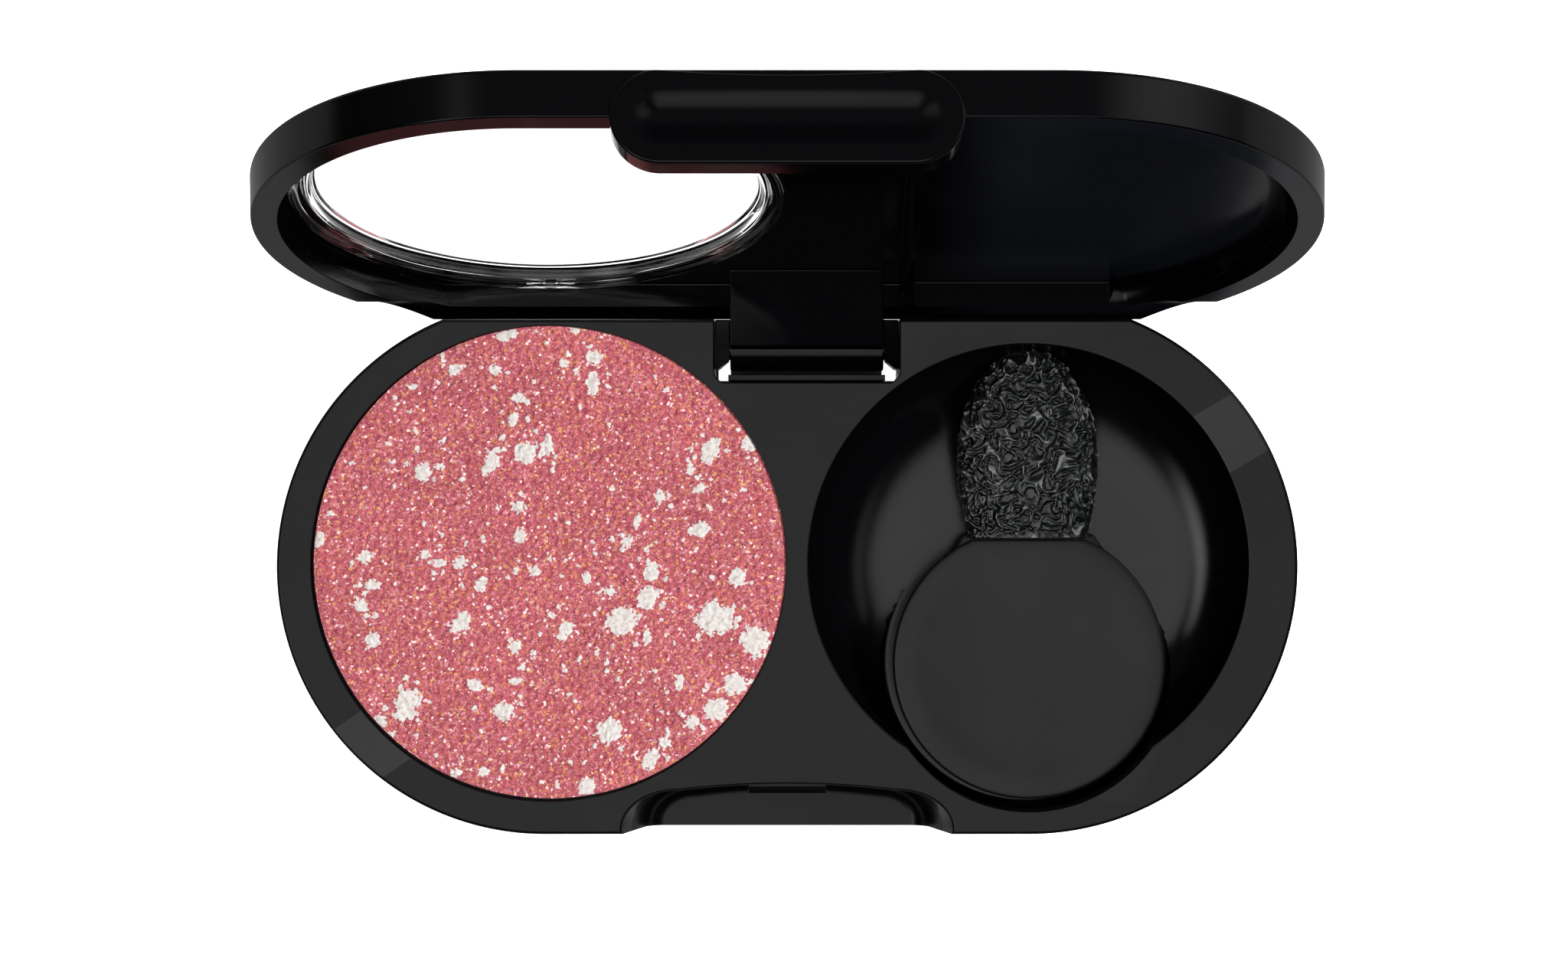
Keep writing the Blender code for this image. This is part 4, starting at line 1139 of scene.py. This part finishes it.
def add_lug(lid):
    """Hinge lug: a web from the ceiling down to a round knuckle, bored for the pin."""
    outline = [(HINGE_Y + LUG_R * math.cos(math.radians(a)),
                HINGE_Z + LUG_R * math.sin(math.radians(a))) for a in range(0, -161, -4)]
    web = 0.39                           # underside of the web below the axis
    outline += [(HINGE_Y - math.sqrt(LUG_R * LUG_R - web ** 2), HINGE_Z - web),
                (HINGE_Y - 1.88, HINGE_Z - web)]
    # (distance in front of the axis, height above the ceiling)
    outline += [(HINGE_Y - front, LID_CEILING + up) for front, up in (
        (1.88, -0.10), (1.895, -0.055), (1.935, -0.015), (1.98, 0.005), (1.98, 0.3),
        (-LUG_R, 0.3))]
    bevel = 0.10
    low = [(-bevel, LUG_X0), (-bevel * 0.3, LUG_X0 + bevel * 0.3), (0, LUG_X0 + bevel)]
    high = [(0, LUG_X1 - bevel), (-bevel * 0.3, LUG_X1 - bevel * 0.3), (-bevel, LUG_X1)]
    fuse(lid, prism_x("lug", outline[::-1], low + high))
    cut(lid, prism_x("bore", circle(HINGE_Y, HINGE_Z, BORE_R, 48),
                     straight(LUG_X0 - 1, LUG_X1 + 1)))


TAB_HALF, TAB_R, TAB_THICK, TAB_EDGE = 9.35, 2.7, 1.6, 0.16
TAB_FRONT = -16.25
TAB_MID_Z = LID_TOP - 0.11 - TAB_R
TAB_HOOK = [  # (y, z)
    (-15.1, 6.86), (-13.62, 6.95), (-13.50, 7.1), (-13.62, 7.42), (-14.3, 8.3), (-15.1, 8.3),
]


def clasp_tab():
    """Upright pill with a scooped front face and a hook on its back."""
    centre = TAB_HALF - TAB_R
    pill = []
    for side in (1, -1):
        for i in range(49):
            a = math.radians(-90 * side + 180 * i / 48)
            pill.append((side * centre + TAB_R * math.cos(a), TAB_R * math.sin(a)))
        for i in range(1, 40):
            pill.append((side * (centre - 2 * centre * i / 40), side * TAB_R))
    # (outward offset, depth behind the front face)
    steps = [(-0.15, TAB_THICK), (0, TAB_THICK - 0.15)]
    steps += [(-TAB_EDGE + TAB_EDGE * math.cos(a), TAB_EDGE - TAB_EDGE * math.sin(a))
              for a in angles(8)]
    steps += [(-TAB_EDGE - 0.10 * k, 0.0) for k in range(1, 25)]
    rings = []
    for distance, depth in steps:
        t = min(1.0, max(0.0, (-distance - 0.85) / 1.75))
        y = TAB_FRONT + depth + 0.325 * t * t * (3 - 2 * t)
        ring = []
        for x, z in offset(pill, distance):
            sag = 0.0
            if abs(x) < 7.2 and z > 1.0:
                sag = 0.34 * (1 - (x / 7.2) ** 2) * min(1.0, (z - 1.0) / 1.5) ** 2
            ring.append((x, y, TAB_MID_Z + (z - sag)))
        rings.append(ring)
    tab = loft("tab", rings)
    fuse(tab, prism_x("hook", round_corners(TAB_HOOK, 0.07, 4),
                      [(-0.05, -2.2), (0, -2.15), (0, 2.15), (-0.05, 2.2)]))
    return tab


def lid_shell():
    profile = round_foot(0.12, LID_RIM, 6, inset=0.13) + round_head(0.28, LID_TOP, 8)
    lid = prism("lid", stadium(LID_R, BACK), profile)
    cut_lid_cavities(lid)
    cut_hinge_relief(lid)
    add_lug(lid)
    fuse(lid, clasp_tab())
    # window opening, rounded on its outer lip
    cut(lid, prism("opening", circle(WINDOW_X, WINDOW_Y, WINDOW_R, 300),
                   cut_profile(TOP - 2, LID_TOP, 0.12)))
    clean(lid)
    swing(lid)
    finish_surface(lid, MAT_LID)
    return lid


WINDOW_RINGS = [  # radius, z, clip inside the lid's walls (0: none, 1 and more: inset + 1), wave
    (1.0, LID_TOP - 0.03, 0, 0),
    (WINDOW_R - 0.24, LID_TOP - 0.03, 0, 0),
    (WINDOW_R - 0.12, LID_TOP - 0.06, 0, 0),
    (WINDOW_R - 0.06, LID_TOP - 0.14, 0, 0),
    (WINDOW_R - 0.06, LID_CEILING + 0.10, 0, 0),
    (WINDOW_R - 0.03, LID_CEILING - 0.01, 0, 0),
    (WINDOW_R + 0.04, LID_CEILING - 0.04, 0, 0),
    (FLANGE_R - 0.16, LID_CEILING - 0.04, 1.0, 0),
    (FLANGE_R - 0.05, LID_CEILING - 0.08, 1.0, 0),
    (FLANGE_R, LID_CEILING - 0.16, 1.0, 0),
    (FLANGE_R, LID_CEILING - 0.30, 1.0, 0),
    (FLANGE_R - 0.05, LID_CEILING - 0.40, 1.03, 0.3),
    (FLANGE_R - 0.17, LID_CEILING - 0.46, 1.08, 0.5),
    (FLANGE_R - 0.34, LID_CEILING - 0.47, 1.2, 1),
    (FLANGE_R - 0.55, LID_CEILING - 0.40, 1.4, 1),
    (WINDOW_R + 0.18, LID_CEILING - 0.24, 0, 1),
    (WINDOW_R + 0.10, LID_CEILING - 0.10, 0, 1),
    (WINDOW_R + 0.02, LID_CEILING - 0.06, 0, 1),
    (WINDOW_R - 0.05, LID_CEILING - 0.12, 0, 1),
    (WINDOW_R - 0.13, LID_CEILING - 0.20, 0, 1),
    (WINDOW_R - 0.22, LID_CEILING - 0.20, 0, 1),
    (WINDOW_R - 0.31, LID_CEILING - 0.10, 0, 1),
    (WINDOW_R - 0.37, LID_CEILING + 0.08, 0, 1),
    (WINDOW_R - 0.43, LID_CEILING + 0.26, 0, 0.7),
    (WINDOW_R - 0.52, LID_CEILING + 0.38, 0, 0.4),
    (WINDOW_R - 0.70, LID_CEILING + 0.45, 0, 0.1),
    (WINDOW_R - 1.0, LID_CEILING + 0.46, 0, 0),
    (1.0, LID_CEILING + 0.46, 0, 0),
]


def clip_to_lid(radius, ca, sa, inset):
    """Shortens a radius from the window's centre to stay within the lid's left part."""
    end_r = LID_INNER_R - 0.1
    if sa > 1e-6:
        radius = min(radius, (BACK - LID_WALL - WINDOW_Y - 0.02 - inset) / sa)
    if ca > 1e-6:
        radius = min(radius, (0.05 - WINDOW_X + 1.5 - inset) / ca)
    if sa < -1e-6:
        radius = min(radius, (-end_r + inset - WINDOW_Y) / sa)
    if WINDOW_X + radius * ca < -HALF:
        dx, dy, limit = WINDOW_X + HALF, WINDOW_Y, end_r - inset
        dot = dx * ca + dy * sa
        root = math.sqrt(max(0.0, dot * dot - dx * dx - dy * dy + limit * limit))
        radius = min(radius, -dot + root)
    return radius


def window_ring(radius, z, clip, wave):
    ring = []
    for i in range(360):
        a = 2 * math.pi * i / 360
        ca, sa = math.cos(a), math.sin(a)
        reach = radius + wave * (0.024 * math.sin(5 * a + 1.1) + 0.016 * math.sin(11 * a + 0.4)
                                 + 0.005 * math.sin(23 * a))
        height = z + wave * (0.024 * math.sin(7 * a + 2.0) + 0.014 * math.sin(13 * a + 0.7)
                             + 0.004 * math.sin(31 * a))
        if clip:
            reach = clip_to_lid(reach, ca, sa, clip - 1)
        ring.append((WINDOW_X + reach * ca, WINDOW_Y + reach * sa, height))
    return ring


def lid_window():
    """Clear plug with a flange under the ceiling and an uneven seam round its inner edge."""
    window = loft("win", [window_ring(*row) for row in WINDOW_RINGS])
    clean(window)
    swing(window)
    finish_surface(window, MAT_CLEAR, 40)
    return window


# ------------------------------------------------------------------ pieces into the frame
for make, piece, carrier, slot in (
        (base_shell, "base_shell", "base", "case_plastic"),
        (base_tray, "base_tray", "base", "tray_plastic"),
        (powder_cake, "powder_cake", "base", "pressed_powder"),
        (handle, "applicator_handle", "applicator", "handle_plastic"),
        (sponge, "applicator_sponge", "applicator", "sponge"),
        (lid_shell, "lid_shell", "lid", "lid_plastic"),
        (lid_window, "lid_window", "lid", "clear_plastic")):
    ob = make()
    ob.name = piece + "_fine"
    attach(ob, carrier)
    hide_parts(piece)


# ------------------------------------------------------------------ floor
def floor_material():
    """Pale floor with its own brightness for camera, reflected and transmitted rays."""
    material, net, shader = new_material("pale_floor")
    net.set(shader, {"Base Color": (0.82, 0.82, 0.82, 1), "Roughness": 0.9,
                     "Specular IOR Level": 0.0})
    rays = net.add("LightPath").outputs
    reflected = net.add("Emission", Strength=0.27).outputs[0]
    glow = net.add("Emission", Strength=0.97).outputs[0]
    transmitted = net.add("Emission", Strength=1.7).outputs[0]
    lit = net.add("AddShader")
    net.feed(lit.inputs[0], shader.outputs[0])
    net.feed(lit.inputs[1], glow)
    surface = net.mix_shaders(rays["Is Glossy Ray"], shader.outputs[0], reflected)
    surface = net.mix_shaders(rays["Is Transmission Ray"], surface, transmitted)
    surface = net.mix_shaders(rays["Is Camera Ray"], surface, lit.outputs[0])
    net.feed(net.tree.nodes["Material Output"].inputs["Surface"], surface)
    material.cycles.emission_sampling = 'NONE'
    return material


bpy.ops.mesh.primitive_plane_add(size=6.0, location=(0, 0, -0.0001))
floor = bpy.context.object
floor.name = "floor"
floor.data.materials.append(floor_material())

# ------------------------------------------------------------------ world
LOBES = [  # centre x, y and radius x, y as sky directions, (share of the radius, strength)
    (0.0, -0.13, 0.34, 0.40, [(0.0, 0.74), (0.80, 0.68), (1.20, 0.0)]),
    (-0.50, -0.12, 0.13, 0.30, [(0.0, 1.7), (0.6, 1.3), (1.5, 0.0)]),
    (0.50, -0.02, 0.07, 0.28, [(0.0, 0.34), (0.6, 0.26), (1.5, 0.0)]),
    (-0.42, 0.46, 0.09, 0.15, [(0.0, 0.40), (0.6, 0.25), (1.5, 0.0)]),
    (0.66, 0.48, 0.24, 0.20, [(0.0, 0.60), (0.6, 0.45), (1.5, 0.0)]),
    (0.0, 0.60, 0.9, 0.30, [(0.0, 0.085), (0.6, 0.075), (1.4, 0.0)]),
]


def sky_lobe(net, sky, centre_x, centre_y, radius_x, radius_y, stops):
    """Soft oval patch of light on the upper half of the sky."""
    squares = []
    for axis, centre, radius in ((sky["X"], centre_x, radius_x), (sky["Y"], centre_y, radius_y)):
        share = net.math('MULTIPLY_ADD', axis, 1 / radius, -centre / radius)
        squares.append(net.math('POWER', share, 2))
    distance = net.math('SQRT', net.math('ADD', *squares))
    above = net.math('GREATER_THAN', sky["Z"], 0.0)
    # halved so that the stops beyond the radius fit on the ramp
    strength = net.ramp(net.math('MULTIPLY', distance, 0.5), [(p * 0.5, v) for p, v in stops])
    return net.math('MULTIPLY', strength, above)


def build_world():
    world = bpy.data.worlds.new("studio")
    bpy.context.scene.world = world
    world.use_nodes = True
    world.cycles.sampling_method = 'NONE'
    net = Shading(world.node_tree)
    net.tree.nodes.clear()
    output = net.add("OutputWorld")
    sky = net.xyz(net.add("TexCoord").outputs["Generated"])
    strength = None
    for lobe in LOBES:
        patch = sky_lobe(net, sky, *lobe)
        strength = net.math('ADD', strength, patch) if strength else patch
    lobes = net.add("Background", Color=(0.98, 0.99, 1.0, 1), Strength=strength).outputs[0]
    white = net.add("Background", Color=(1, 1, 1, 1), Strength=1.0).outputs[0]
    ambient = net.add("Background", Color=(1, 1, 1, 1), Strength=0.30).outputs[0]
    rays = net.add("LightPath").outputs
    not_diffuse = net.math('SUBTRACT', 1.0, rays["Is Diffuse Ray"])
    surface = net.mix_shaders(not_diffuse, ambient, lobes)
    # white to the camera, also through the clear window, but not in reflections seen through it
    unreflected = net.math('LESS_THAN', rays["Glossy Depth"], 0.5)
    through = net.math('MULTIPLY', rays["Is Transmission Ray"], unreflected)
    seen = net.math('MAXIMUM', rays["Is Camera Ray"], through)
    net.feed(output.inputs["Surface"], net.mix_shaders(seen, surface, white))


build_world()


# ------------------------------------------------------------------ lights, in metres and watts
def area_light(name, location, target, size, power):
    """Square light that only lights diffuse surfaces and is never seen itself."""
    light = bpy.data.lights.new(name, 'AREA')
    light.energy = power
    light.shape = 'SQUARE'
    light.size = size
    ob = bpy.data.objects.new(name, light)
    bpy.context.scene.collection.objects.link(ob)
    ob.location = location
    direction = Vector(target) - Vector(location)
    ob.rotation_euler = direction.to_track_quat('-Z', 'Y').to_euler()
    ob.visible_camera = False
    ob.visible_glossy = False
    ob.visible_transmission = False


area_light("key_top", location=(-0.10, -0.12, 0.60), target=(0, 0, 0), size=0.34, power=1.6)
area_light("key_side", location=(0.38, 0.10, 0.46), target=(0, 0, 0), size=0.13, power=8.8)
area_light("fill_front", location=(0.05, -0.55, 0.40), target=(0, 0, 0.01), size=0.5, power=3.0)
area_light("fill_back", location=(0.0, 0.6, 0.45), target=(0, 0, 0.01), size=0.5, power=2.0)

# ------------------------------------------------------------------ camera, straight above
CAMERA_X, CAMERA_Y = -0.18860864, 4.5086446
CAMERA_HEIGHT = 228.71043                # above the tray's face
LENS, SENSOR = 89.52539, 36

camera = bpy.data.cameras.new("camera")
camera.lens = LENS
camera.sensor_width = SENSOR
camera.clip_start = 0.01
camera.clip_end = 20
camera_object = bpy.data.objects.new("camera", camera)
bpy.context.scene.collection.objects.link(camera_object)
camera_object.location = (CAMERA_X * MM, CAMERA_Y * MM, (TOP + CAMERA_HEIGHT) * MM)
bpy.context.scene.camera = camera_object
bpy.context.scene.view_settings.view_transform = 'Standard'
bpy.context.scene.view_settings.look = 'None'
